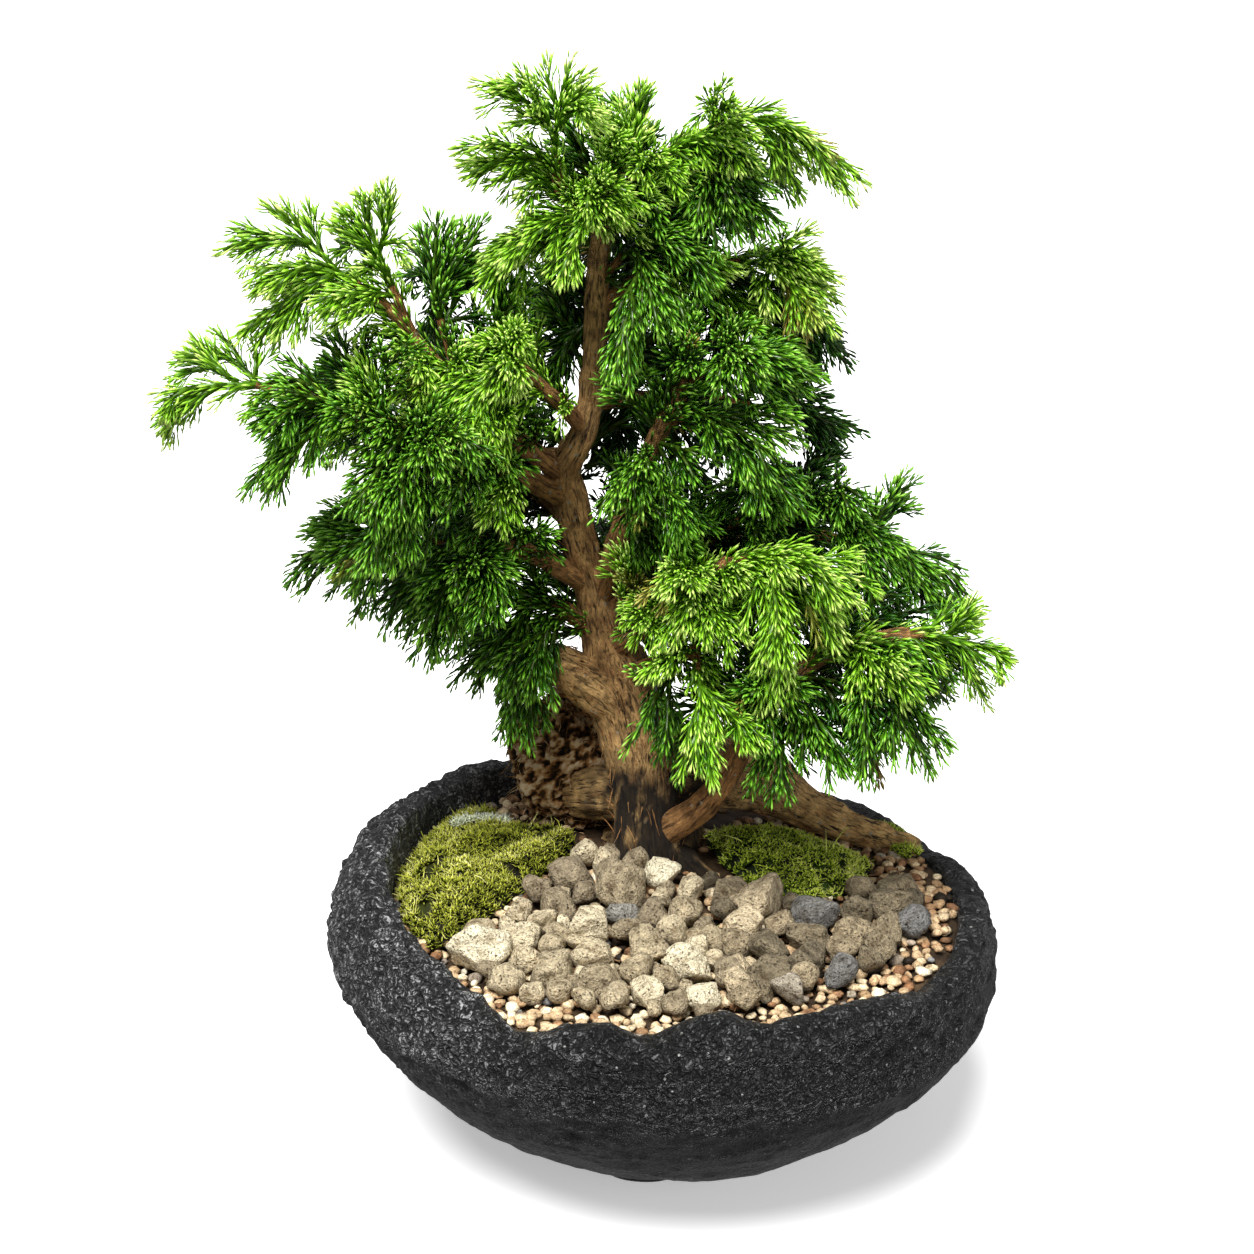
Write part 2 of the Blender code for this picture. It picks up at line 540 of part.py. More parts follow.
def make_gravel(rng):
    """The layer of fine gravel on the soil, rough along the rim and smooth under the stones."""
    theta = np.arange(0, POT_SIDES, 2) * 360 / POT_SIDES
    base = SOIL_TOP + SEAT
    heights = (base, GROUND_EDGE + 2 * RELIEF)
    edge = np.array([inside_radius(theta, z, WALL_GAP) for z in heights])
    rings = [ring_at(theta, edge[0], base)]
    for share, rough in GRAVEL_RINGS:
        ring = ring_at(theta, edge[1] * share, 0)
        ring[:, 2] = ground(ring[:, 0], ring[:, 1]) + RELIEF * rough * rng.uniform(-1, 1, len(theta))
        rings.append(ring)
    top = (0, 0, ground(0, 0))
    return add_object("gravel", fan_skin(np.stack(rings), (0, 0, base), top), TAN_GRIT)


def patch(outline, sides, shares, top):
    """A low solid on the gravel: an outline shrunk in rings to its middle under a top surface."""
    outline = np.array(outline, float)
    closed = np.vstack([outline, outline[:1]])
    edge = spread(np.hstack([closed, np.zeros((len(closed), 1))]), sides + 1)[:-1, :2]
    middle = edge.mean(0)
    rings = []
    for share in (0.55, 1.0):
        flat = middle + (edge - middle) * share
        rings.append(np.column_stack([flat, over_ground(*flat.T)]))
    for share in shares:
        flat = middle + (edge - middle) * share
        height = np.maximum(top(flat[:, 0], flat[:, 1], share), over_ground(*flat.T) + 1.0)
        rings.append(np.column_stack([flat, height]))
    low = (*middle, over_ground(*middle))
    high = (*middle, float(top(middle[:1], middle[1:], 0.0)[0]))
    return fan_skin(np.stack(rings), low, high)


def make_moss(name, outline, sides, height, rng):
    """A cushion of moss: a low mound with tufts standing up from it."""
    tufts = rng.uniform(0, 2 * np.pi, 3)

    def top(x, y, share):
        mound = height * (1 - share ** 4)
        relief = (np.sin(x / 2.9 + tufts[0]) * np.sin(y / 3.3 + tufts[1])
                  + 0.6 * np.sin((x - y) / 2.1 + tufts[2]))
        return over_ground(x, y) + MOSS_THICK + mound + TUFT * relief
    return add_object(name, patch(outline, sides, (1.0, 0.78, 0.5, 0.22), top), MOSS)


def stone(x, y, radius, rng):
    """An uneven stone of twenty faces, flatter than it is wide, sitting into the bed."""
    shape = bmesh.new()
    bmesh.ops.create_icosphere(shape, subdivisions=1, radius=1.0)
    vertices = np.array([v.co[:] for v in shape.verts])
    faces = [[v.index for v in face.verts] for face in shape.faces]
    shape.free()
    turn = rng.uniform(0, 2 * np.pi)
    spin = np.array([[np.cos(turn), -np.sin(turn), 0], [np.sin(turn), np.cos(turn), 0], [0, 0, 1]])
    vertices = vertices @ spin * rng.uniform(0.86, 1.1, (len(vertices), 1)) * radius
    vertices[:, 2] *= STONE_FLAT
    floor = over_ground(x, y) + 0.4
    vertices += (x, y, floor + STONE_SUNK * radius)
    vertices[:, 2] = np.maximum(vertices[:, 2], floor)
    return vertices, faces


def make_stones(name, outline, stones, finish, rng):
    """Pumice stones of one colour, packed together on a thin bed of their own crumbs."""
    def top(x, y, share):
        return over_ground(x, y) + BED_THICK

    bed = add_object(name, patch(outline, 16, (1.0, 0.55), top), finish)
    pieces = [add_object("stone", stone(*place, rng), finish) for place in stones]
    boolean(bed, pieces, "UNION", "MANIFOLD")
    return bed


def lump(grow):
    """The block of fibrous peat left of the trunk, grown by a little where it cuts others."""
    centre, half = np.array(PEAT_CENTRE), np.array(PEAT_HALF)
    rows, sides = 6, 11
    angle = np.radians(np.arange(sides) * 360 / sides)
    rings = []
    for row in range(1, rows):
        tilt = np.pi * row / rows
        rough = 1 + 0.09 * np.sin(3 * angle + 2 * row) + 0.06 * np.sin(5 * angle - row)
        reach = np.stack([-np.sin(tilt) ** 0.7 * np.cos(angle), -np.sin(tilt) ** 0.7 * np.sin(angle),
                          np.full(sides, -np.cos(tilt))], 1)
        rings.append(centre + reach * (half * rough[:, None] + grow))
    rings = np.stack(rings)
    floor = over_ground(rings[..., 0], rings[..., 1]) - grow
    rings[..., 2] = np.maximum(rings[..., 2], floor)
    low = (*centre[:2], over_ground(*centre[:2]) - grow)
    high = centre + (0, 0, half[2] + grow)
    return fan_skin(rings, low, high)


def wood_cutter():
    """The plug, roots and lower stem, grown by the gap that the ground keeps from them."""
    cutter = add_object("wood_cutter", tube(PLUG, 12, grow=SEAT, width=PLUG_WIDTH), BARK_FINISH)
    limbs = []
    for name in GROUND_WOOD:
        sides, count, points = WOOD[name]
        limbs.append(add_object(name, tube(points, sides, count, SEAT, BARK), BARK_FINISH))
    boolean(cutter, limbs, "UNION", "MANIFOLD")
    return cutter


def cut_with(item, cutter):
    """Cut a piece with a copy of a cutter."""
    copy = cutter.copy()
    copy.data = cutter.data.copy()
    bpy.context.scene.collection.objects.link(copy)
    boolean(item, [copy], "DIFFERENCE", "MANIFOLD")


def make_wood(twigs):
    """Root plug, roots, stem, limbs and the brown foot of each spray, grown together."""
    trunk = add_object("trunk", tube(PLUG, 12, width=PLUG_WIDTH), BARK_FINISH)
    limbs = []
    for name, (sides, count, points) in WOOD.items():
        limbs.append(add_object(name, tube(points, sides, count, relief=BARK), BARK_FINISH))
    for path in twigs:
        points = np.column_stack([path, np.full(len(path), TWIG_RADIUS)])
        limbs.append(add_object("twig", tube(points, 3), BARK_FINISH))
    boolean(trunk, limbs, "UNION", "MANIFOLD")
    return trunk


class Space:
    """Round-ended rods that stand for everything already placed, to keep new shoots clear.

    A row holds a rod's two ends, its radius, its owner (a spray's number, or less than zero for
    wood), the shoot it belongs to, and whether it is a needle.
    """

    def __init__(self):
        self.rods = np.zeros((0, 10))

    def add(self, starts, ends, radius, owner, shoot=-1, needle=False):
        """Remember rods that share their marks; the radius may change along them."""
        marks = np.empty((len(starts), 4))
        marks[:, 0] = radius
        marks[:, 1:] = owner, shoot, needle
        self.rods = np.vstack([self.rods, np.column_stack([starts, ends, marks])])

    def add_path(self, path, radius, owner, shoot=-1):
        """Remember a curve as a chain of rods."""
        self.add(path[:-1], path[1:], radius, owner, shoot)

    def clearance(self, starts, ends, chosen):
        """For each new rod, the least distance from its axis to the chosen rods' surfaces."""
        rods = self.rods[chosen]
        if not len(rods) or not len(starts):
            return np.full(len(starts), 99.0)
        a, u = starts[:, None], (ends - starts)[:, None]
        c, v = rods[None, :, :3], (rods[:, 3:6] - rods[:, :3])[None]
        w = a - c
        uu, vv, uv = (u * u).sum(-1), (v * v).sum(-1) + 1e-9, (u * v).sum(-1)
        uw, vw = (u * w).sum(-1), (v * w).sum(-1)
        s = np.clip((uv * vw - vv * uw) / np.maximum(uu * vv - uv * uv, 1e-9), 0, 1)
        t = np.clip((uv * s + vw) / vv, 0, 1)
        s = np.clip((uv * t - uw) / np.maximum(uu, 1e-9), 0, 1)
        away = np.linalg.norm(w + s[..., None] * u - t[..., None] * v, axis=-1)
        return (away - rods[None, :, 6]).min(1)

    def others(self, owner):
        """Which rods belong to anything but one spray."""
        return self.rods[:, 7] != owner

    def own(self, owner, shoot, needle):
        """Which rods are cores or needles of a spray, on its other shoots."""
        rods = self.rods
        return (rods[:, 7] == owner) & (rods[:, 8] != shoot) & (rods[:, 9] == needle)


@dataclass
class Shoot:
    """A green shoot: its path, where its first whorl may stand, and its number."""
    path: np.ndarray
    bare: float
    number: int


def bow(foot, way, tip):
    """A curve that leaves a foot along a way and bends over to a tip, short of its last needles."""
    reach = np.linalg.norm(tip - foot)
    bend = foot + 0.4 * reach * way
    t = np.linspace(0, 1, 25)[:, None]
    curve = (1 - t) ** 2 * foot + 2 * t * (1 - t) * bend + t ** 2 * tip
    total = lengths_along(curve)[-1]
    return point_at(curve, np.linspace(0, total - TIP_REACH, max(5, int(total / 2.5))))


def settle_stems(space, rng):
    """Each spray's brown twig and first green stem, turned so that they keep clear of the rest."""
    stems = []
    for number, (_, limb, place, lift, _, tips) in enumerate(SPRAYS):
        path = smooth_path(WOOD[limb][2], 60)
        spot = min(int(place * 59), 58)
        base, radius = path[spot, :3], path[spot, 3]
        lead = unit(path[spot + 1, :3] - path[max(spot - 3, 0), :3])
        best = None
        for attempt in range(TRIES):
            stray = rng.normal(0, 0.16 * attempt ** 0.5, 3)
            tip = np.array(tips[0], float) + stray
            reach = np.linalg.norm(tip - base)
            way = unit(0.45 * lead + (tip - base) / reach + np.array([0, 0, 0.6 * lift]) + 0.4 * stray)
            foot = base + way * max(radius + 5.0, reach - GREEN_LENGTH)
            twig = np.array([base, foot - way * SEAT])
            leafy = bow(foot, way, tip)
            near = space.clearance(leafy[:-1], leafy[1:], np.ones(len(space.rods), bool)).min()
            crossed = space.clearance(twig[:1], twig[1:], space.rods[:, 7] >= 0).min()
            score = min(near - CORE_FOOT, crossed - TWIG_RADIUS, STEM_ROOM)
            if best is None or score > best[0] + 0.3:
                best = (score, twig, leafy)
            if score >= STEM_ROOM:
                break
        _, twig, leafy = best
        space.add_path(twig, TWIG_RADIUS, -1 - number)
        space.add_path(leafy, CORE_FOOT, number, number)
        stems.append((twig, Shoot(leafy, BARE_FOOT, number)))
    return stems


def settle_forks(space, number, stem, tips, lift, rng):
    """Further stems of a spray, each from the first stem to its own tip."""
    forks = []
    total = lengths_along(stem.path)[-1]
    for tip in tips:
        best = None
        for attempt in range(TRIES):
            base = point_at(stem.path, rng.uniform(0.06, 0.30) * total)
            goal = np.array(tip, float) + rng.normal(0, 0.5 * attempt ** 0.5, 3)
            lead = unit(stem.path[2] - stem.path[0])
            way = unit(0.3 * lead + unit(goal - base) + np.array([0, 0, 0.4 * lift]))
            curve = bow(base, way, goal)
            clear = space.clearance(curve[1:-1], curve[2:], space.others(number)).min()
            own = space.clearance(curve[-3:-1], curve[-2:], ~space.others(number)).min()
            score = min(clear - CORE_FOOT, own - CORE_FOOT, STEM_ROOM)
            if best is None or score > best[0]:
                best = (score, curve)
        if best[0] < FORK_ROOM:
            continue
        shoot = len(space.rods)
        space.add_path(best[1], CORE_FOOT, number, shoot)
        forks.append(Shoot(best[1], FORK_FOOT, shoot))
    return forks


def settle_sides(space, number, stem, rng):
    """Short side shoots of one stem, turned to where there is most room."""
    total = lengths_along(stem.path)[-1]
    shoots = []
    for _ in range(SIDE_COUNT):
        best = None
        for _ in range(TRIES):
            place = rng.uniform(0.25, 0.72) * total
            base = point_at(stem.path, place)
            ahead = unit(point_at(stem.path, min(place + 2, total)) - base)
            around = rng.normal(0, 1, 3)
            across = unit(around - ahead * (around @ ahead))
            angle = np.radians(rng.uniform(*SIDE_ANGLE))
            way = ahead * np.cos(angle) + across * np.sin(angle)
            length = rng.uniform(*SIDE_LENGTH)
            s = np.linspace(0, 1, 7)[:, None]
            curve = base + way * length * s + ahead * 3 * s ** 2 - np.array([0, 0, 2.5]) * s ** 2
            if (curve[-1] < CROWN_REACH[0]).any() or (curve[-1] > CROWN_REACH[1]).any():
                continue
            clear = space.clearance(curve[1:-1], curve[2:], space.others(number)).min()
            own = space.clearance(curve[-3:-1], curve[-2:], ~space.others(number)).min()
            score = min(clear, own, 2 * SIDE_ROOM)
            if best is None or score > best[0]:
                best = (score, curve)
        if best is not None and best[0] > SIDE_ROOM:
            shoot = len(space.rods)
            space.add_path(best[1], CORE_TIP, number, shoot)
            shoots.append(Shoot(best[1], FORK_FOOT, shoot))
    return shoots


def shoot_skin(shoot, space, number):
    """One shoot: a slim three-sided core with whorls of six needles.

    A whorl is a short step of the core, and each of its six triangles is drawn out to a point.
    The core turns by 60 degrees from one whorl to the next. A needle that would touch another
    spray or cross one of its own is left flat.
    """
    total = lengths_along(shoot.path)[-1]
    whorls = np.arange(total - TIP_BUD - WHORL_BASE, shoot.bare, -WHORL_STEP)[::-1]
    places = np.concatenate([[0.0], np.stack([whorls, whorls + WHORL_BASE], 1).ravel(), [total]])
    centres = point_at(shoot.path, places)
    forward, side, across = carried_frames(centres)
    steps = np.arange(len(whorls))
    turns = np.radians(np.concatenate([[-60.0], np.repeat(steps * 60.0, 2)]))
    radius = CORE_FOOT + (CORE_TIP - CORE_FOOT) * places / GREEN_LENGTH
    angle = turns[:, None] + np.radians(np.arange(3) * 120)
    rings = (centres[:-1, None] + radius[:-1, None, None]
             * (np.cos(angle)[..., None] * side[:-1, None] + np.sin(angle)[..., None] * across[:-1, None]))
    vertices = list(rings.reshape(-1, 3)) + [centres[-1]]
    faces = [(2, 1, 0)]
    needles, bases, points = [], [], []
    last = len(places) - 2
    for k in range(last):
        low, high = 3 * k, 3 * k + 3
        for j in range(3):
            n = (j + 1) % 3
            if k % 2 == 0:
                faces += [(low + j, low + n, high + j), (low + n, high + n, high + j)]
                continue
            middle = angle[k, j] + np.radians(60)
            halves = (((low + j, low + n, high + n), 30, -0.3), ((low + j, high + n, high + j), -30, 0.3))
            for corners, swing, further in halves:
                way = middle + np.radians(swing)
                out = np.cos(way) * side[k] + np.sin(way) * across[k]
                reach = 0.6 * radius[k] + NEEDLE * np.sin(np.radians(LEAN))
                ahead = WHORL_BASE / 2 + NEEDLE * np.cos(np.radians(LEAN)) + further
                needles.append(corners)
                bases.append(np.mean([vertices[c] for c in corners], 0))
                points.append(centres[k] + forward[k] * ahead + out * reach)
    bases, points = np.array(bases), np.array(points)
    half = (bases + points) / 2
    others = space.others(number)
    free = space.clearance(bases, half, others) > NEEDLE_ROOT + SEAT
    free &= space.clearance(half, points, others) > NEEDLE_POINT + SEAT
    free &= space.clearance(bases, points, space.own(number, shoot.number, True)) > NEEDLE_GAP
    free &= space.clearance(bases, points, space.own(number, shoot.number, False)) > NEEDLE_GAP
    for corners, point, is_free in zip(needles, points, free):
        if not is_free:
            faces.append(corners)
            continue
        tip = len(vertices)
        vertices.append(point)
        a, b, c = corners
        faces += [(a, b, tip), (b, c, tip), (c, a, tip)]
    top = 3 * last
    for j in range(3):
        faces.append((top + j, top + (j + 1) % 3, 3 * (last + 1)))
    space.add(bases[free], half[free], NEEDLE_ROOT, number, shoot.number, True)
    space.add(half[free], points[free], NEEDLE_POINT, number, shoot.number, True)
    return vertices, faces


def make_sprays(space, stems, rng):
    """The sprays: stems and side shoots of each, with their needles, joined in one body."""
    plans = []
    for number, (_, stem) in enumerate(stems):
        lift, tips = SPRAYS[number][3], SPRAYS[number][5]
        plans.append([stem] + settle_forks(space, number, stem, tips[1:], lift, rng))
    for number, plan in enumerate(plans):
        plan += settle_sides(space, number, plan[0], rng)
    sprays = []
    for number, plan in enumerate(plans):
        name, _, _, _, colour, _ = SPRAYS[number]
        finish = Finish(colour, 0.55)
        pieces = [add_object("shoot", shoot_skin(shoot, space, number), finish) for shoot in plan]
        spray = pieces[0]
        spray.name = spray.data.materials[0].name = "spray_" + name
        if len(pieces) > 1:
            boolean(spray, pieces[1:], "UNION", "MANIFOLD")
        sprays.append(spray)
    return sprays


def stand_on_origin():
    """Hang every piece on an empty, with the middle of the whole outline over the origin."""
    root = bpy.data.objects.new("bonsai", None)
    bpy.context.scene.collection.objects.link(root)
    solids = [item for item in bpy.data.objects if item.type == "MESH"]
    corners = np.array([v.co[:] for item in solids for v in item.data.vertices])
    middle = (corners.min(0) + corners.max(0)) / 2
    root.location = (-middle[0], -middle[1], 0.0)
    for item in solids:
        item.parent = root


def main():
    """Build the bonsai."""
    clear_scene()
    rng = np.random.default_rng(SEED)
    make_bowl()
    make_drain_mesh()
    soil, gravel = make_soil(), make_gravel(rng)
    pale = make_stones("pale_stones", PALE_BED, PALE_STONES, CREAM_STONE, rng)
    grey = make_stones("grey_stones", GREY_BED, GREY_STONES, GREY_STONE, rng)
    moss_left = make_moss("moss_left", MOSS_LEFT, 20, 9.0, rng)
    moss_right = make_moss("moss_right", MOSS_RIGHT, 14, 4.0, rng)
    peat = add_object("peat_lump", lump(0.0), PEAT)
    cutter = wood_cutter()
    for item in (soil, gravel, pale, grey, moss_left, moss_right, peat):
        cut_with(item, cutter)
    bpy.data.objects.remove(cutter, do_unlink=True)
    boolean(moss_left, [add_object("peat_cutter", lump(SEAT), PEAT)], "DIFFERENCE", "MANIFOLD")

    space = Space()
    for _, count, points in WOOD.values():
        path = smooth_path(points, count)
        space.add_path(path[:, :3], path[:-1, 3] * (1 + 1.6 * BARK), WOOD_OWNER)
    stems = settle_stems(space, rng)
    make_wood([twig for twig, _ in stems])
    make_sprays(space, stems, rng)
    stand_on_origin()


main()
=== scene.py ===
"""The looks of a small conifer bonsai in a pinched, dark stoneware bowl.

Shapes are worked out in millimetres round the bowl's upright axis, with the table at z = 0 and the
bowl's front at -Y. Workshop.place moves them to where the frame has the bowl.
"""
from __future__ import annotations

import logging
from dataclasses import dataclass, field
from enum import Enum
from typing import Sequence

import bpy
import numpy as np
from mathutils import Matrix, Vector

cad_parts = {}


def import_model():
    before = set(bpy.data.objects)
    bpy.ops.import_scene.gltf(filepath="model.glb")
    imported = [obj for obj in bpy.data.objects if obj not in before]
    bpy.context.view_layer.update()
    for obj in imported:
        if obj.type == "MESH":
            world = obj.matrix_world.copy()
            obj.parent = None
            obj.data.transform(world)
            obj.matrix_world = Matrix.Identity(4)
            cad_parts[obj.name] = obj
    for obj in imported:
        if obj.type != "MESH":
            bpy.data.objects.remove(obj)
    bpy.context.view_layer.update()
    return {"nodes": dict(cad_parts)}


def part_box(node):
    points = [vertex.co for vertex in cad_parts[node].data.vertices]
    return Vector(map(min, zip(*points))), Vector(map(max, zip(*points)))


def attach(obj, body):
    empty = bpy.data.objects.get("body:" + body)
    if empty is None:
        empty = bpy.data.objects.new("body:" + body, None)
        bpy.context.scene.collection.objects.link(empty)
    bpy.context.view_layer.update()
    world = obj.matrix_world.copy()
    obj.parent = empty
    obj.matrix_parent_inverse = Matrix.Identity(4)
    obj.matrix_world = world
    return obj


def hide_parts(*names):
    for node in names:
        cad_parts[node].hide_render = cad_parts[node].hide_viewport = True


MM = 0.001
GOLDEN_TURN = np.pi * (3 - 5 ** 0.5)
LOG = logging.getLogger("bonsai")

Array = np.ndarray
Colour = tuple[float, float, float]
Point = tuple[float, float, float]
Outline = tuple[tuple[float, float], ...]
Rng = np.random.Generator
Node = bpy.types.Node
NodeTree = bpy.types.NodeTree
Socket = bpy.types.NodeSocket


# Surfaces as whole arrays

@dataclass
class Skin:
    """Points in millimetres, triangles between them, and values that change over the surface."""
    points: Array
    triangles: Array
    values: dict[str, Array] = field(default_factory=dict)

    @staticmethod
    def joined(skins: Sequence["Skin"]) -> "Skin":
        """Several skins as one.

        Args:
            skins: the skins, all with the same values.

        Returns:
            One skin; triangle numbers are moved on by the points that come before them.
        """
        counts = np.cumsum([0] + [len(skin.points) for skin in skins[:-1]])
        return Skin(
            np.vstack([skin.points for skin in skins]),
            np.vstack([skin.triangles + start for skin, start in zip(skins, counts)]),
            {name: np.concatenate([skin.values[name] for skin in skins]) for name in skins[0].values},
        )


def grid_triangles(rows: int, sides: int, caps: bool = False) -> Array:
    """Triangles over a grid of rows that each close on themselves.

    Args:
        rows: number of rows.
        sides: points in each row.
        caps: whether the first and last row close on one more point each, numbered after the grid.

    Returns:
        Each cell (r, s) split along its diagonal from (r, s) to (r + 1, s + 1).
    """
    row = np.arange(rows - 1)[:, None] * sides
    side = np.arange(sides)[None]
    beside = (side + 1) % sides
    a, b, c, d = row + side, row + beside, row + sides + beside, row + sides + side
    cells = [np.stack([a, b, c], -1).reshape(-1, 3), np.stack([a, c, d], -1).reshape(-1, 3)]
    if caps:
        first, last = rows * sides, rows * sides + 1
        end = (rows - 1) * sides
        side, beside = side[0], beside[0]
        cells.append(np.stack([np.full(sides, first), beside, side], -1))
        cells.append(np.stack([end + side, end + beside, np.full(sides, last)], -1))
    return np.vstack(cells)


def unit(vectors: Array) -> Array:
    """Vectors at length one."""
    return vectors / np.maximum(np.linalg.norm(vectors, axis=-1, keepdims=True), 1e-9)


def smooth_path(points: Sequence[Sequence[float]], step: float) -> Array:
    """A smooth curve through points, sampled at equal distances.

    Args:
        points: x, y, z and any further columns, such as a radius.
        step: distance between samples.

    Returns:
        Samples of the cubic 0.5 (2b + (c-a) f + (2a-5b+4c-d) f^2 + (3b-a-3c+d) f^3) in each span.
    """
    points = np.asarray(points, float)
    spans = len(points) - 1
    padded = np.vstack([2 * points[0] - points[1], points, 2 * points[-1] - points[-2]])
    place = np.linspace(0, spans, 40 * spans + 1)
    index = np.minimum(place.astype(int), spans - 1)
    f = (place - index)[:, None]
    a, b, c, d = (padded[index + k] for k in range(4))
    curve = 0.5 * (2 * b + (c - a) * f + (2 * a - 5 * b + 4 * c - d) * f ** 2
                   + (3 * b - a - 3 * c + d) * f ** 3)
    return respaced(curve, max(3, int(arc(curve)[-1] / step) + 1))


def arc(curve: Array) -> Array:
    """Distance from the start of a curve to each of its points."""
    return np.concatenate([[0.0], np.cumsum(np.linalg.norm(np.diff(curve[:, :3], axis=0), axis=1))])


def respaced(curve: Array, count: int) -> Array:
    """The same curve with a number of points at equal distances."""
    along = arc(curve)
    wanted = np.linspace(0, along[-1], count)
    return np.stack([np.interp(wanted, along, column) for column in curve.T], 1)


def at_distance(curve: Array, distance: Array | float) -> Array:
    """Points of a curve at distances from its start."""
    along = arc(curve)
    return np.stack([np.interp(distance, along, column) for column in curve[:, :3].T], -1)


def carried_frames(centres: Array) -> tuple[Array, Array, Array]:
    """Forward, side and across directions along a curve, carried on with no twist."""
    forward = unit(np.gradient(centres, axis=0))
    start = np.array([1.0, 0.0, 0.0]) if abs(forward[0][0]) < 0.8 else np.array([0.0, 1.0, 0.0])
    side = np.zeros_like(forward)
    side[0] = unit(start - forward[0] * (start @ forward[0]))
    for k in range(1, len(centres)):
        side[k] = unit(side[k - 1] - forward[k] * (side[k - 1] @ forward[k]))
    return forward, side, np.cross(forward, side)


def lattice_noise(points: Array, seed: int) -> Array:
    """Smooth noise from -1 to 1 with features one unit apart.

    Args:
        points: where to read it, one row each.
        seed: which noise.

    Returns:
        Hashed values at the eight corners of each point's cell, blended with f f (3 - 2 f).
    """
    cell = np.floor(points).astype(np.int64)
    f = points - cell
    f = f * f * (3 - 2 * f)
    total = np.zeros(len(points))
    for corner in range(8):
        step = np.array([corner & 1, corner >> 1 & 1, corner >> 2 & 1])
        weight = np.prod(np.where(step, f, 1 - f), axis=1)
        total += weight * hashed(cell + step, seed)
    return total * 2 - 1


def hashed(cells: Array, seed: int) -> Array:
    """A value from 0 to 1 for each whole-numbered cell."""
    x, y, z = cells.astype(np.uint64).T
    h = x * np.uint64(374761393) + y * np.uint64(668265263) + z * np.uint64(2246822519)
    h = (h + np.uint64(seed * 3266489917)) & np.uint64(0xFFFFFFFF)
    h = ((h ^ (h >> np.uint64(13))) * np.uint64(1274126177)) & np.uint64(0xFFFFFFFF)
    h = ((h ^ (h >> np.uint64(16))) * np.uint64(2654435761)) & np.uint64(0xFFFFFFFF)
    return (h >> np.uint64(8)).astype(float) / float(1 << 24)


def fractal(points: Array, size: float, octaves: int, seed: int) -> Array:
    """Lattice noise with features of a size, plus finer octaves at half the strength each."""
    shape = points.shape[:-1]
    flat = points.reshape(-1, 3) / size
    total = sum(0.5 ** k * lattice_noise(flat * 2 ** k + 17.3 * k, seed + k) for k in range(octaves))
    return (total / (2 - 0.5 ** (octaves - 1))).reshape(shape)


def cell_distance(points: Array, size: float, seed: int) -> Array:
    """Distance to the nearest of scattered dots, about one to each cell of a size.

    Args:
        points: where to read it.
        size: cell size.
        seed: which dots.

    Returns:
        min |p - dot| / size over the dots of the 27 cells round each point.
    """
    shape = points.shape[:-1]
    flat = points.reshape(-1, 3) / size
    cell = np.floor(flat).astype(np.int64)
    best = np.full(len(flat), 9.0)
    for corner in range(27):
        near = cell + np.array([corner % 3, corner // 3 % 3, corner // 9]) - 1
        dot = near + np.stack([hashed(near, seed + k) for k in range(3)], 1)
        best = np.minimum(best, np.linalg.norm(flat - dot, axis=1))
    return best.reshape(shape)


def tube(path: Array, radii: Array, sides: int) -> tuple[Array, Array]:
    """A round bar along a path, closed by a point at each end.

    Args:
        path: its centre line.
        radii: its radius at each point of the path, or at each point and side.
        sides: points round it.

    Returns:
        Points c + r (cos a side + sin a across), then the two ends, and the triangles.
    """
    forward, side, across = carried_frames(path)
    angle = np.arange(sides) * 2 * np.pi / sides
    ring = np.cos(angle)[None, :, None] * side[:, None] + np.sin(angle)[None, :, None] * across[:, None]
    radii = np.broadcast_to(np.reshape(radii, (len(path), -1)), (len(path), sides))
    points = (path[:, None] + radii[..., None] * ring).reshape(-1, 3)
    ends = np.stack([path[0] - 0.2 * radii[0].mean() * forward[0],
                     path[-1] + 0.4 * radii[-1].mean() * forward[-1]])
    return np.vstack([points, ends]), grid_triangles(len(path), sides, caps=True)


def strands(bases: Array, ways: Array, lengths: Array, radius: float, droop: float, curl: float,
            rng: Rng) -> Skin:
    """Thin three-sided fibres that bend as they go.

    Args:
        bases: where each starts.
        ways: its first direction.
        lengths: its length.
        radius: its radius at the base.
        droop: how far it sinks by its end, as a share of its length.
        curl: how far it strays sideways, as a share of its length.
        rng: source of the stray directions.

    Returns:
        Each centre line is b + L (s way + s^2 (curl stray - droop z)), its radius r (1 - 0.8 s).
    """
    count = len(bases)
    s = np.linspace(0, 1, 4)[None, :, None]
    stray = unit(rng.normal(0, 1, (count, 1, 3)))
    down = np.array([0, 0, -droop])
    path = bases[:, None] + lengths[:, None, None] * (s * ways[:, None] + s ** 2 * (curl * stray + down))
    forward = unit(np.gradient(path, axis=1))
    side = unit(np.cross(forward, stray + 0.01))
    across = np.cross(forward, side)
    angle = np.arange(3) * 2 * np.pi / 3
    ring = (np.cos(angle)[:, None] * side[:, :, None] + np.sin(angle)[:, None] * across[:, :, None])
    points = path[:, :, None] + radius * (1 - 0.8 * s[..., None]) * ring
    points = np.concatenate([points.reshape(count, -1, 3), path[:, :1], path[:, -1:]], 1)
    triangles = grid_triangles(4, 3, caps=True)
    every = triangles[None] + np.arange(count)[:, None, None] * points.shape[1]
    tone = np.repeat(rng.uniform(0, 1, count), points.shape[1])
    return Skin(points.reshape(-1, 3), every.reshape(-1, 3), {"tone": tone})


# Sizes that several pieces share

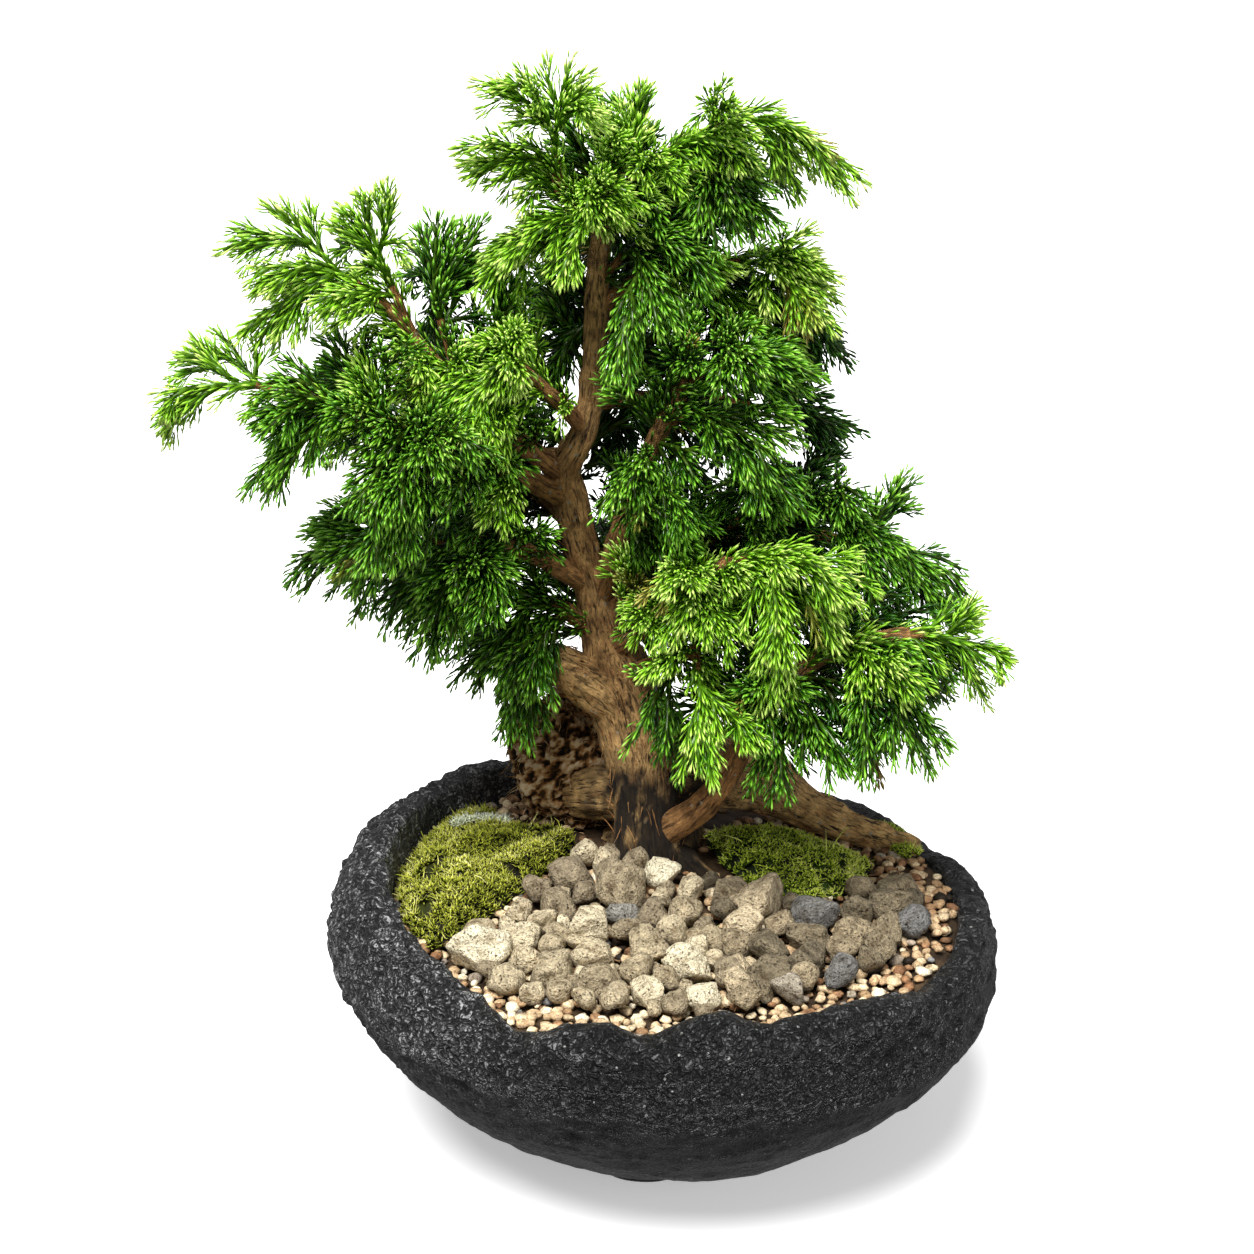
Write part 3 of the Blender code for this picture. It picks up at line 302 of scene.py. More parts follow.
@dataclass
class BowlForm:
    """The pinched bowl: its rim is a table of angle, height and radius."""
    belly_radius: float = 111.0
    belly_height: float = 59.0
    belly_tilt: float = 7.0
    belly_at: float = 0.65
    underside_radius: float = 40.0
    underside_height: float = 4.0
    wall: float = 9.0
    floor: float = 14.0
    drain_radius: float = 6.0
    foot_radius: float = 15.5
    foot_offset: float = 36.0
    foot_angles: tuple[int, ...] = (-100, 20, 140)
    rim: tuple[Point, ...] = (
        (-180, 94, 100), (-160, 94, 101), (-140, 88, 103), (-126, 83, 104), (-117, 76, 105),
        (-108, 82, 105), (-100, 84, 105), (-94, 80, 105), (-87, 86, 106), (-80, 89, 106),
        (-74, 84, 106), (-62, 83, 106), (-46, 81, 107), (-38, 77, 108), (-20, 78, 108),
        (0, 77, 107), (12, 77, 106), (25, 75, 104), (50, 78, 102), (90, 83, 102),
        (115, 86, 103), (130, 91, 104), (145, 91, 102), (163, 95, 99),
    )

    def rim_value(self, theta: Array, column: int) -> Array:
        """Rim height (column 1) or radius (column 2) at angles, on a smooth closed cubic."""
        table = np.array(self.rim, float)
        angles = np.concatenate([table[:, 0] - 360, table[:, 0], table[:, 0] + 360])
        values = np.tile(table[:, column], 3)
        theta = (np.asarray(theta, float) + 180) % 360 - 180
        i = np.searchsorted(angles, theta, side="right") - 1
        f = (theta - angles[i]) / (angles[i + 1] - angles[i])
        a, b, c, d = (values[i + k] for k in (-1, 0, 1, 2))
        return 0.5 * (2 * b + (c - a) * f + (2 * a - 5 * b + 4 * c - d) * f ** 2
                      + (3 * b - a - 3 * c + d) * f ** 3)

    def outside(self, theta: Array, t: Array) -> tuple[Array, Array]:
        """Radius and height of the outside, from the underside (t = 0) to the rim (t = 1).

        Args:
            theta: angles round the axis, in degrees.
            t: place on the profile.

        Returns:
            Up to the belly an even climb mixed with a quarter sine; above it a quarter ellipse.
        """
        rim_high, rim_wide = self.rim_value(theta, 1), self.rim_value(theta, 2)
        belly_high = self.belly_height - self.belly_tilt * np.cos(np.radians(theta))
        low = np.minimum(t / self.belly_at, 1.0)
        high = np.maximum(0.0, (t - self.belly_at) / (1 - self.belly_at))
        out = 0.35 * np.sin(low * np.pi / 2) ** 0.95 + 0.65 * low ** 0.8
        up = 0.35 * low + 0.65 * (1 - np.cos(low * np.pi / 2))
        radius = self.underside_radius + (self.belly_radius - self.underside_radius) * out
        height = self.underside_height + (belly_high - self.underside_height) * up
        radius = radius + (rim_wide - self.belly_radius) * (1 - np.cos(high * np.pi / 2))
        return radius, height + (rim_high - belly_high) * np.sin(high * np.pi / 2)

    def inside_radius(self, theta: Array) -> Array:
        """Radius of the inner wall at the height of the grit."""
        return self.rim_value(theta, 2) - self.wall - 0.5


@dataclass
class Ground:
    """The grit: flat along the rim and rising to a low mound round the trunk."""
    edge: float = 75.0
    rise: float = 10.0
    spread: float = 45.0
    peak: tuple[float, float] = (-4.0, 25.0)

    def height(self, x: Array, y: Array) -> Array:
        """Height of the grit: edge + rise exp(-d^2 / 2 spread^2)."""
        away = (x - self.peak[0]) ** 2 + (y - self.peak[1]) ** 2
        return self.edge + self.rise * np.exp(-away / (2 * self.spread ** 2))


BOWL = BowlForm()
GROUND = Ground()


def inside_outline(points: Array, outline: Outline) -> Array:
    """Which points lie inside a closed outline, by counting the edges to their right."""
    corners = np.array(outline, float)
    following = np.roll(corners, -1, axis=0)
    inside = np.zeros(len(points), bool)
    for (x0, y0), (x1, y1) in zip(corners, following):
        crosses = (y0 > points[:, 1]) != (y1 > points[:, 1])
        reach = x0 + (points[:, 1] - y0) * (x1 - x0) / np.where(y1 == y0, 1e-9, y1 - y0)
        inside ^= crosses & (points[:, 0] < reach)
    return inside


def edge_distance(points: Array, outline: Outline) -> Array:
    """Distance from points to the nearest edge of a closed outline."""
    a = np.array(outline, float)
    run = np.roll(a, -1, axis=0) - a
    gap = points[:, None] - a[None]
    share = np.clip((gap * run).sum(-1) / (run ** 2).sum(-1), 0, 1)
    return np.linalg.norm(gap - share[..., None] * run, axis=-1).min(1)


# Materials

class Recipe:
    """A node tree under construction."""

    def __init__(self, tree: NodeTree) -> None:
        """Start on a tree."""
        self.tree = tree

    def add(self, kind: str, settings: dict[str, object] | None = None, **inputs: object) -> Node:
        """Add a node.

        Args:
            kind: the node's type name.
            settings: properties to set on it.
            **inputs: sockets to link or numbers to set, by input name, with _ for a space.

        Returns:
            The node.
        """
        node = self.tree.nodes.new(kind)
        for name, value in (settings or {}).items():
            setattr(node, name, value)
        for name, value in inputs.items():
            self.feed(node.inputs[name.replace("_", " ")], value)
        return node

    def feed(self, socket: Socket, value: object) -> None:
        """Link a socket to another, or set it to a number or a colour."""
        if isinstance(value, Socket):
            self.tree.links.new(value, socket)
        elif isinstance(value, tuple) and len(value) == 3 and socket.type == "RGBA":
            socket.default_value = (*value, 1.0)
        else:
            socket.default_value = value

    def step(self, operation: str, first: object, second: object,
             clamp: bool = False) -> Socket:
        """One step of arithmetic."""
        node = self.add("ShaderNodeMath", {"operation": operation, "use_clamp": clamp})
        self.feed(node.inputs[0], first)
        self.feed(node.inputs[1], second)
        return node.outputs[0]

    def times(self, first: object, second: object) -> Socket:
        """A product."""
        return self.step("MULTIPLY", first, second)

    def plus(self, first: object, second: object, clamp: bool = False) -> Socket:
        """A sum, kept from 0 to 1 if clamped."""
        return self.step("ADD", first, second, clamp)

    def minus(self, first: object, second: object, clamp: bool = False) -> Socket:
        """A difference, kept from 0 to 1 if clamped."""
        return self.step("SUBTRACT", first, second, clamp)

    def tinted(self, share: object, colour: object, tint: object) -> Socket:
        """A colour multiplied by another, by a share."""
        return self.blend(share, colour, tint, "MULTIPLY")

    def blend(self, share: object, first: object, second: object,
              how: str = "MIX") -> Socket:
        """Two colours mixed by a share."""
        node = self.add("ShaderNodeMix", {"data_type": "RGBA", "blend_type": how})
        self.feed(node.inputs[0], share)
        self.feed(node.inputs[6], first)
        self.feed(node.inputs[7], second)
        return node.outputs[2]

    def ramp(self, share: object, stops: Sequence[tuple[float, Colour]]) -> Socket:
        """A colour from a row of stops."""
        node = self.add("ShaderNodeValToRGB", Fac=share)
        band = node.color_ramp
        while len(band.elements) < len(stops):
            band.elements.new(0.5)
        for element, (place, colour) in zip(band.elements, stops):
            element.position = place
            element.color = (*colour, 1.0)
        return node.outputs[0]

    def between(self, value: object, low: float, high: float, new_low: float = 0.0,
                new_high: float = 1.0) -> Socket:
        """A value moved from one range to another and kept inside it."""
        node = self.add("ShaderNodeMapRange", {"clamp": True})
        for socket, number in zip(node.inputs, (value, low, high, new_low, new_high)):
            self.feed(socket, number)
        return node.outputs[0]

    def noise(self, vector: object, scale: float, detail: float = 3.0, roughness: float = 0.55,
              warp: float = 0.0) -> Socket:
        """Fractal noise from 0 to 1, with a scale in features to the metre."""
        node = self.add("ShaderNodeTexNoise", Vector=vector, Scale=scale, Detail=detail,
                        Roughness=roughness, Distortion=warp)
        return node.outputs[0]

    def place(self) -> Socket:
        """Object coordinates."""
        return self.add("ShaderNodeTexCoord").outputs["Object"]

    def value(self, name: str) -> Socket:
        """A value that the mesh carries."""
        return self.add("ShaderNodeAttribute", {"attribute_name": name}).outputs["Fac"]

    def direction(self, name: str) -> Socket:
        """A vector that the mesh carries."""
        return self.add("ShaderNodeAttribute", {"attribute_name": name}).outputs["Vector"]


class SharedEffects:
    """Node groups that more than one finish uses, and the materials made so far."""
    stray: float = 0.002

    def __init__(self) -> None:
        """Build the groups."""
        self.finished: dict[str, bpy.types.Material] = {}
        self.pits = self.make_pits()
        self.specks = self.make_specks()
        self.mottle = self.make_mottle()

    @staticmethod
    def start(name: str, inputs: dict[str, float],
              output: str) -> tuple[Recipe, Node, Node]:
        """A group with a vector and some numbers in, and one number out."""
        tree = bpy.data.node_groups.new(name, "ShaderNodeTree")
        tree.interface.new_socket("Vector", in_out="INPUT", socket_type="NodeSocketVector")
        for label, value in inputs.items():
            socket = tree.interface.new_socket(label, in_out="INPUT", socket_type="NodeSocketFloat")
            socket.default_value = value
        tree.interface.new_socket(output, in_out="OUTPUT", socket_type="NodeSocketFloat")
        recipe = Recipe(tree)
        return recipe, tree.nodes.new("NodeGroupInput"), tree.nodes.new("NodeGroupOutput")

    def make_pits(self) -> NodeTree:
        """Small hollows: scattered dots of a scale, as wide as Width, broken up by noise."""
        recipe, given, result = self.start("Pits", {"Scale": 400.0, "Width": 0.4}, "Depth")
        place, scale = given.outputs["Vector"], given.outputs["Scale"]
        stray = recipe.add("ShaderNodeTexNoise", Vector=place, Scale=scale)
        push = recipe.add("ShaderNodeVectorMath", {"operation": "SCALE"})
        recipe.feed(push.inputs[0], stray.outputs["Color"])
        push.inputs["Scale"].default_value = self.stray
        moved = recipe.add("ShaderNodeVectorMath", {"operation": "ADD"})
        recipe.feed(moved.inputs[0], place)
        recipe.feed(moved.inputs[1], push.outputs[0])
        dots = recipe.add("ShaderNodeTexVoronoi", Vector=moved.outputs[0], Scale=scale)
        chance = recipe.add("ShaderNodeSeparateColor", Color=dots.outputs["Color"])
        wide = recipe.times(given.outputs["Width"], chance.outputs[0])
        depth = recipe.add("ShaderNodeMapRange", {"clamp": True, "interpolation_type": "SMOOTHSTEP"})
        for socket, value in zip(depth.inputs, (dots.outputs["Distance"], 0.0, wide, 1.0, 0.0)):
            recipe.feed(socket, value)
        recipe.feed(result.inputs["Depth"], depth.outputs[0])
        return recipe.tree

    def make_specks(self) -> NodeTree:
        """Sparse pale dots: the nearest dots of a scale, kept where a random draw is over Few."""
        recipe, given, result = self.start("Specks", {"Scale": 500.0, "Size": 0.25, "Few": 0.9}, "Mask")
        dots = recipe.add("ShaderNodeTexVoronoi", Vector=given.outputs["Vector"],
                          Scale=given.outputs["Scale"])
        near = recipe.step("LESS_THAN", dots.outputs["Distance"], given.outputs["Size"])
        chance = recipe.add("ShaderNodeSeparateColor", Color=dots.outputs["Color"])
        kept = recipe.step("GREATER_THAN", chance.outputs[1], given.outputs["Few"])
        recipe.feed(result.inputs["Mask"], recipe.times(near, kept))
        return recipe.tree

    def make_mottle(self) -> NodeTree:
        """Uneven patches: broad noise with fine noise over it, drawn apart by Contrast."""
        recipe, given, result = self.start("Mottle", {"Scale": 60.0, "Contrast": 1.5}, "Value")
        broad = recipe.noise(given.outputs["Vector"], 1.0, 5.0, 0.6)
        recipe.feed(broad.node.inputs["Scale"], given.outputs["Scale"])
        spread = recipe.times(recipe.minus(broad, 0.5), given.outputs["Contrast"])
        recipe.feed(result.inputs["Value"], recipe.plus(spread, 0.5, clamp=True))
        return recipe.tree


@dataclass(frozen=True)
class Finish:
    """What every finish has: a name and how it is built on a Principled shader."""
    name: str
    roughness: float

    def material(self, effects: SharedEffects) -> bpy.types.Material:
        """The material, made once."""
        made = effects.finished.get(self.name)
        if made is None:
            made = effects.finished[self.name] = bpy.data.materials.new(self.name)
            made.use_nodes = True
            shader = made.node_tree.nodes["Principled BSDF"]
            shader.inputs["Roughness"].default_value = self.roughness
            self.build(Recipe(made.node_tree), shader, effects)
        return made

    def build(self, recipe: Recipe, shader: Node, effects: SharedEffects) -> None:
        """Feed the shader."""
        raise NotImplementedError

    @staticmethod
    def group(recipe: Recipe, tree: NodeTree, **inputs: object) -> Socket:
        """The first output of a shared effect, with its own values."""
        node = recipe.add("ShaderNodeGroup", {"node_tree": tree})
        for name, value in inputs.items():
            recipe.feed(node.inputs[name], value)
        return node.outputs[0]

    @staticmethod
    def bump(recipe: Recipe, shader: Node, height: Socket, distance: float,
             strength: float = 1.0) -> None:
        """Raise the surface by a height in metres times its value."""
        node = recipe.add("ShaderNodeBump", Strength=strength, Distance=distance, Height=height)
        recipe.feed(shader.inputs["Normal"], node.outputs[0])


@dataclass(frozen=True)
class Stoneware(Finish):
    """Charcoal clay: creased like leather above the belly, dragged sideways below it; dust with a painted
    highlight on the crests of the left shoulder and rim, painted shade in the creases and pits.
    """
    dark: Colour = (0.0055, 0.006, 0.0068)
    worn: Colour = (0.022, 0.0225, 0.024)
    dust: Colour = (0.46, 0.46, 0.455)
    crease_shade: Colour = (0.0015, 0.0016, 0.0018)
    speck: Colour = (0.55, 0.55, 0.52)

    def build(self, recipe: Recipe, shader: Node, effects: SharedEffects) -> None:
        """Feed the shader."""
        place = recipe.place()
        dust_and_highlight_share, calm = recipe.value("dust"), recipe.value("calm")
        mottle = self.group(recipe, effects.mottle, Vector=place, Scale=70.0, Contrast=2.0)
        fine = recipe.noise(place, 900.0, 4.0, 0.6)
        wide = self.crease(recipe, place, 250.0, 0.10)
        narrow = self.crease(recipe, place, 620.0, 0.12)
        pits = self.group(recipe, effects.pits, Vector=place, Scale=330.0, Width=0.6)
        drag = recipe.add("ShaderNodeMapping", Vector=place, Scale=(70.0, 70.0, 520.0),
                          Rotation=(0.12, 0.2, 0.0))
        streak = recipe.noise(drag.outputs[0], 1.0, 4.0, 0.6, 0.8)
        base = recipe.blend(mottle, self.dark, self.worn)
        top = recipe.times(wide, narrow)
        crown = recipe.times(top, recipe.between(fine, 0.3, 0.6, 0.5))
        # dust and painted highlight: the raised crests turn pale grey, most on the lit upper left shoulder
        # and the rim
        base = recipe.blend(recipe.times(crown, recipe.step("POWER", dust_and_highlight_share, 1.7)), base, self.dust)
        # painted shade: the creases between the raised tops are darkened towards near-black
        crack_shade = recipe.minus(1.0, top, True)
        base = recipe.blend(recipe.times(crack_shade, 0.75), base, self.crease_shade)
        # painted shade: the pits are darkened towards the dark clay
        base = recipe.blend(recipe.times(pits, 0.8), base, self.dark)
        speck = self.group(recipe, effects.specks, Vector=place, Scale=480.0, Size=0.22, Few=0.925)
        base = recipe.blend(recipe.times(speck, 0.7), base, self.speck)
        recipe.feed(shader.inputs["Base Color"], base)
        rough = recipe.between(recipe.plus(fine, recipe.times(dust_and_highlight_share, 0.5)), 0.3, 1.0, 0.22, 0.6)
        recipe.feed(shader.inputs["Roughness"], rough)
        shader.inputs["Specular IOR Level"].default_value = 0.55
        lively = recipe.plus(recipe.times(wide, 0.75), recipe.times(narrow, 0.4))
        lively = recipe.minus(lively, recipe.times(pits, 0.6))
        still = recipe.plus(recipe.times(streak, 0.85), recipe.times(narrow, 0.09))
        still = recipe.minus(still, recipe.times(pits, 0.3))
        mixed = recipe.add("ShaderNodeMix", {"data_type": "FLOAT"})
        recipe.feed(mixed.inputs[0], calm)
        recipe.feed(mixed.inputs[2], lively)
        recipe.feed(mixed.inputs[3], still)
        height = recipe.plus(mixed.outputs[0], recipe.times(fine, 0.35))
        self.bump(recipe, shader, height, 0.003, 1.0)

    @staticmethod
    def crease(recipe: Recipe, place: Socket, scale: float,
               width: float) -> Socket:
        """Flat tops between narrow wandering creases: |n - 0.5| / width, kept under 1."""
        wander = recipe.noise(place, scale, 2.0, 0.5, 0.9)
        return recipe.between(recipe.step("ABSOLUTE", recipe.minus(wander, 0.5), 0.0), 0.0, width)


@dataclass(frozen=True)
class Pumice(Finish):
    """Porous stone, from a row of stone colours by each stone's grade, some of them blue-grey, with painted
    shade in its pores.
    """
    stops: tuple[tuple[float, Colour], ...] = ()
    pit_scale: float = 900.0
    pit_width: float = 0.5
    relief: float = 0.0019
    blue: Colour = (0.21, 0.215, 0.225)
    pit_shade: Colour = (0.26, 0.20, 0.13)

    def build(self, recipe: Recipe, shader: Node, effects: SharedEffects) -> None:
        """Feed the shader."""
        place = recipe.place()
        base = recipe.ramp(recipe.value("grade"), self.stops)
        base = recipe.blend(recipe.value("tint"), base, self.blue)
        mottle = self.group(recipe, effects.mottle, Vector=place, Scale=230.0, Contrast=2.6)
        grain = recipe.noise(place, 1300.0, 3.0, 0.65)
        pits = self.group(recipe, effects.pits, Vector=place, Scale=self.pit_scale, Width=self.pit_width)
        holes = self.group(recipe, effects.pits, Vector=place, Scale=0.55 * self.pit_scale, Width=0.36)
        shade = recipe.ramp(mottle, ((0.0, (0.42, 0.36, 0.28)), (0.45, (0.95, 0.93, 0.88)),
                                     (1.0, (1.35, 1.32, 1.25))))
        base = recipe.tinted(1.0, base, shade)
        grains = recipe.ramp(grain, ((0.32, (0.5, 0.47, 0.42)), (0.5, (1.0, 1.0, 1.0)),
                                     (0.64, (1.5, 1.5, 1.45))))
        base = recipe.tinted(0.8, base, grains)
        # painted shade: pores and holes are darkened towards brown-black
        dark = recipe.tinted(1.0, base, self.pit_shade)
        hollow = recipe.plus(recipe.times(pits, 0.75), recipe.times(holes, 0.7), True)
        recipe.feed(shader.inputs["Base Color"], recipe.blend(hollow, base, dark))
        height = recipe.minus(recipe.times(grain, 0.7), recipe.times(hollow, 1.1))
        height = recipe.plus(height, recipe.times(mottle, 0.8))
        self.bump(recipe, shader, height, self.relief, 1.0)
        shader.inputs["Specular IOR Level"].default_value = 0.3


@dataclass(frozen=True)
class Bark(Finish):
    """Bark whose fibres follow the wood, from reddish on young twigs to grey-brown on old wood."""
    young: Colour = (0.48, 0.235, 0.085)
    old: Colour = (0.78, 0.53, 0.235)
    crack_shade: Colour = (0.016, 0.009, 0.004)
    dark_below: Colour = (0.006, 0.004, 0.003)
    rust: Colour = (0.50, 0.235, 0.085)
    flake: Colour = (0.45, 0.36, 0.23)
    pore: Colour = (0.62, 0.52, 0.36)

    def build(self, recipe: Recipe, shader: Node, effects: SharedEffects) -> None:
        """Feed the shader."""
        grain, place = recipe.direction("grain"), recipe.place()
        fibre = recipe.noise(grain, 1.0, 5.0, 0.65, 0.7)
        fine = recipe.noise(grain, 3.2, 4.0, 0.65, 0.3)
        mottle = self.group(recipe, effects.mottle, Vector=place, Scale=170.0, Contrast=3.0)
        skin = recipe.blend(recipe.value("age"), self.young, self.old)
        skin = recipe.blend(mottle, recipe.tinted(1.0, skin, (0.55, 0.47, 0.39)),
                            recipe.tinted(1.0, skin, (1.6, 1.5, 1.35)))
        rust = recipe.between(recipe.noise(place, 260.0, 3.0, 0.6), 0.53, 0.66)
        skin = recipe.blend(recipe.times(rust, 0.6), skin, self.rust)
        pale = recipe.between(fine, 0.56, 0.72)
        skin = recipe.blend(recipe.times(pale, 0.5), skin, self.flake)
        groove = recipe.between(fibre, 0.36, 0.49, 1.0, 0.0)
        slit = recipe.between(fine, 0.28, 0.42, 0.8, 0.0)
        dark = recipe.plus(groove, slit, True)
        # the bark's dark fissures with painted shade in them: grooves and slits darkened towards near-black,
        # more where the mesh is recessed
        skin = recipe.blend(recipe.times(dark, recipe.value("wear")), skin, self.crack_shade)
        lenticel = self.group(recipe, effects.specks, Vector=place, Scale=400.0, Size=0.27, Few=0.8)
        skin = recipe.blend(recipe.times(lenticel, 0.7), skin, self.pore)
        # the foot of the stem is darkened towards near-black, in bands
        recipe.feed(shader.inputs["Base Color"], recipe.blend(recipe.value("soot"), skin, self.dark_below))
        height = recipe.minus(recipe.times(fibre, 1.3), recipe.times(dark, 0.5))
        height = recipe.plus(height, recipe.times(fine, 0.7))
        height = recipe.plus(height, recipe.times(lenticel, 0.15))
        self.bump(recipe, shader, height, 0.0016, 1.0)
        shader.inputs["Specular IOR Level"].default_value = 0.3


@dataclass(frozen=True)
class Shaded(Finish):
    """A finish that runs along a row of colours by the tone that the mesh carries."""
    stops: tuple[tuple[float, Colour], ...] = ()
    patch_scale: float = 300.0
    unevenness: float = 0.3
    relief: float = 0.0

    def build(self, recipe: Recipe, shader: Node, effects: SharedEffects) -> None:
        """Feed the shader."""
        place = recipe.place()
        mottle = self.group(recipe, effects.mottle, Vector=place, Scale=self.patch_scale, Contrast=1.6)
        swing = recipe.times(recipe.minus(mottle, 0.5), self.unevenness)
        base = recipe.ramp(recipe.plus(recipe.value("tone"), swing, clamp=True), self.stops)
        recipe.feed(shader.inputs["Base Color"], base)
        shader.inputs["Specular IOR Level"].default_value = 0.25
        if self.relief:
            grain = recipe.noise(place, 4 * self.patch_scale, 4.0, 0.6)
            self.bump(recipe, shader, grain, self.relief, 0.9)


@dataclass(frozen=True)
class Needles(Finish):
    """Living needles: dark where old and inside, yellow-green at fresh tips, waxy, straw where dry."""
    stops: tuple[tuple[float, Colour], ...] = ()
    straw: Colour = (0.36, 0.23, 0.05)

    def build(self, recipe: Recipe, shader: Node, effects: SharedEffects) -> None:
        """Feed the shader."""
        place = recipe.place()
        mottle = self.group(recipe, effects.mottle, Vector=place, Scale=110.0, Contrast=1.6)
        swing = recipe.times(recipe.minus(mottle, 0.5), 0.2)
        base = recipe.ramp(recipe.plus(recipe.value("tone"), swing, clamp=True), self.stops)
        recipe.feed(shader.inputs["Base Color"], recipe.blend(recipe.value("dry"), base, self.straw))
        shader.inputs["Specular IOR Level"].default_value = 0.45
        shader.inputs["Coat Weight"].default_value = 0.12
        shader.inputs["Coat Roughness"].default_value = 0.25


STONEWARE = Stoneware("charcoal_stoneware", 0.5)
PALE_PUMICE = Pumice("porous_cream_pumice", 0.92, (
    (0.0, (0.12, 0.10, 0.075)), (0.25, (0.24, 0.195, 0.135)), (0.5, (0.40, 0.33, 0.22)),
    (0.75, (0.62, 0.53, 0.37)), (1.0, (0.86, 0.79, 0.60))))
GREY_PUMICE = Pumice("porous_grey_pumice", 0.92, (
    (0.0, (0.07, 0.06, 0.045)), (0.3, (0.20, 0.165, 0.11)), (0.55, (0.36, 0.29, 0.19)),
    (0.8, (0.58, 0.48, 0.33)), (1.0, (0.80, 0.68, 0.48))))
GRIT = Pumice("mixed_tan_grit", 0.7, (
    (0.0, (0.012, 0.007, 0.003)), (0.12, (0.075, 0.046, 0.024)), (0.26, (0.27, 0.135, 0.065)),
    (0.42, (0.42, 0.28, 0.155)), (0.6, (0.58, 0.43, 0.27)), (0.8, (0.74, 0.61, 0.41)),
    (1.0, (0.88, 0.80, 0.63))), 1500.0, 0.4, 0.0003)
BARK = Bark("fibrous_bark", 0.8)
PEAT = Shaded("crumbled_peat", 0.95, (
    (0.0, (0.008, 0.004, 0.001)), (0.3, (0.08, 0.036, 0.011)), (0.52, (0.38, 0.175, 0.055)),
    (0.78, (0.68, 0.43, 0.21)), (1.0, (0.88, 0.68, 0.43))), 520.0, 0.8, 0.0016)
MOSS_LEFT = Shaded("olive_star_moss", 0.7, (
    (0.0, (0.006, 0.005, 0.001)), (0.28, (0.035, 0.045, 0.002)), (0.52, (0.21, 0.245, 0.009)),
    (0.74, (0.54, 0.56, 0.045)), (1.0, (1.0, 0.95, 0.42))), 90.0, 0.55)
MOSS_RIGHT = Shaded("green_star_moss", 0.7, (
    (0.0, (0.003, 0.007, 0.001)), (0.26, (0.035, 0.075, 0.002)), (0.46, (0.25, 0.38, 0.014)),
    (0.6, (0.66, 0.80, 0.055)), (1.0, (1.0, 1.0, 0.36))), 110.0, 0.6)
LICHEN = Shaded("pale_lichen", 0.8, (
    (0.0, (0.36, 0.42, 0.20)), (0.6, (0.86, 0.92, 0.66)), (1.0, (0.97, 1.0, 0.86))), 200.0, 0.4)
SOIL = Shaded("potting_soil", 0.95, (
    (0.0, (0.02, 0.012, 0.007)), (1.0, (0.11, 0.07, 0.04))), 200.0, 1.4, 0.001)
MESH_PLASTIC = Shaded("green_mesh", 0.5, (
    (0.0, (0.012, 0.035, 0.02)), (1.0, (0.025, 0.06, 0.035))), 90.0, 1.0)
# three copies of the needle finish, partly by the age of the growth and partly lit and shaded copies: painted
# light on the outside, painted shade at the back
BRIGHT_NEEDLES = Needles("needles_spring_lit", 0.34, (
    (0.0, (0.007, 0.030, 0.001)), (0.28, (0.075, 0.25, 0.004)), (0.58, (0.33, 0.69, 0.026)),
    (1.0, (0.78, 0.97, 0.25))))
FRESH_NEEDLES = Needles("needles_summer", 0.34, (
    (0.0, (0.003, 0.015, 0.001)), (0.3, (0.032, 0.14, 0.003)), (0.62, (0.19, 0.50, 0.019)),
    (1.0, (0.58, 0.90, 0.17))))
DEEP_NEEDLES = Needles("needles_shade", 0.34, (
    (0.0, (0.002, 0.011, 0.001)), (0.3, (0.018, 0.088, 0.002)), (0.62, (0.11, 0.35, 0.014)),
    (1.0, (0.42, 0.74, 0.12))))


class Workshop:
    """Turns skins into finished pieces on the frame."""

    def __init__(self) -> None:
        """Read where the frame has the bowl's axis."""
        low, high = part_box("drain_mesh")
        self.shift = np.array([(low.x + high.x) / 2, (low.y + high.y) / 2, 0.0])
        self.effects = SharedEffects()
        self.triangles = 0

    def place(self, name: str, skin: Skin, finish: Finish, nodes: Sequence[str], slot: str) -> None:
        """Make a piece of a skin and put it on the frame.

        Args:
            name: the piece's name.
            skin: its surface.
            finish: its material.
            nodes: the frame's nodes that it stands for.
            slot: the record's material slot; not used.

        The object stays at the origin, with its place in its mesh.
        """
        mesh = bpy.data.meshes.new(name)
        count, faces = len(skin.points), len(skin.triangles)
        mesh.vertices.add(count)
        mesh.vertices.foreach_set("co", (skin.points * MM + self.shift).astype(np.float32).ravel())
        mesh.loops.add(3 * faces)
        mesh.loops.foreach_set("vertex_index", skin.triangles.astype(np.int32).ravel())
        mesh.polygons.add(faces)
        mesh.polygons.foreach_set("loop_start", np.arange(0, 3 * faces, 3, dtype=np.int32))
        mesh.update(calc_edges=True)
        for label, values in skin.values.items():
            kind = "FLOAT_VECTOR" if values.ndim == 2 else "FLOAT"
            layer = mesh.attributes.new(label, kind, "POINT")
            part = "vector" if values.ndim == 2 else "value"
            layer.data.foreach_set(part, values.astype(np.float32).ravel())
        mesh.shade_smooth()
        mesh.materials.append(finish.material(self.effects))
        piece = bpy.data.objects.new(name, mesh)
        bpy.context.scene.collection.objects.link(piece)
        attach(piece, "root")
        if nodes:
            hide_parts(*nodes)
        self.triangles += faces
        LOG.info("%s: %d triangles", name, faces)

    def dress(self, node: bpy.types.Object, finish: Finish) -> None:
        """Give a node of the frame a better material."""
        material = finish.material(self.effects)
        if not node.material_slots:
            node.data.materials.append(material)
        for slot in node.material_slots:
            slot.material = material
        LOG.info("%s: dressed in %s", node.name, finish.name)


# The bowl

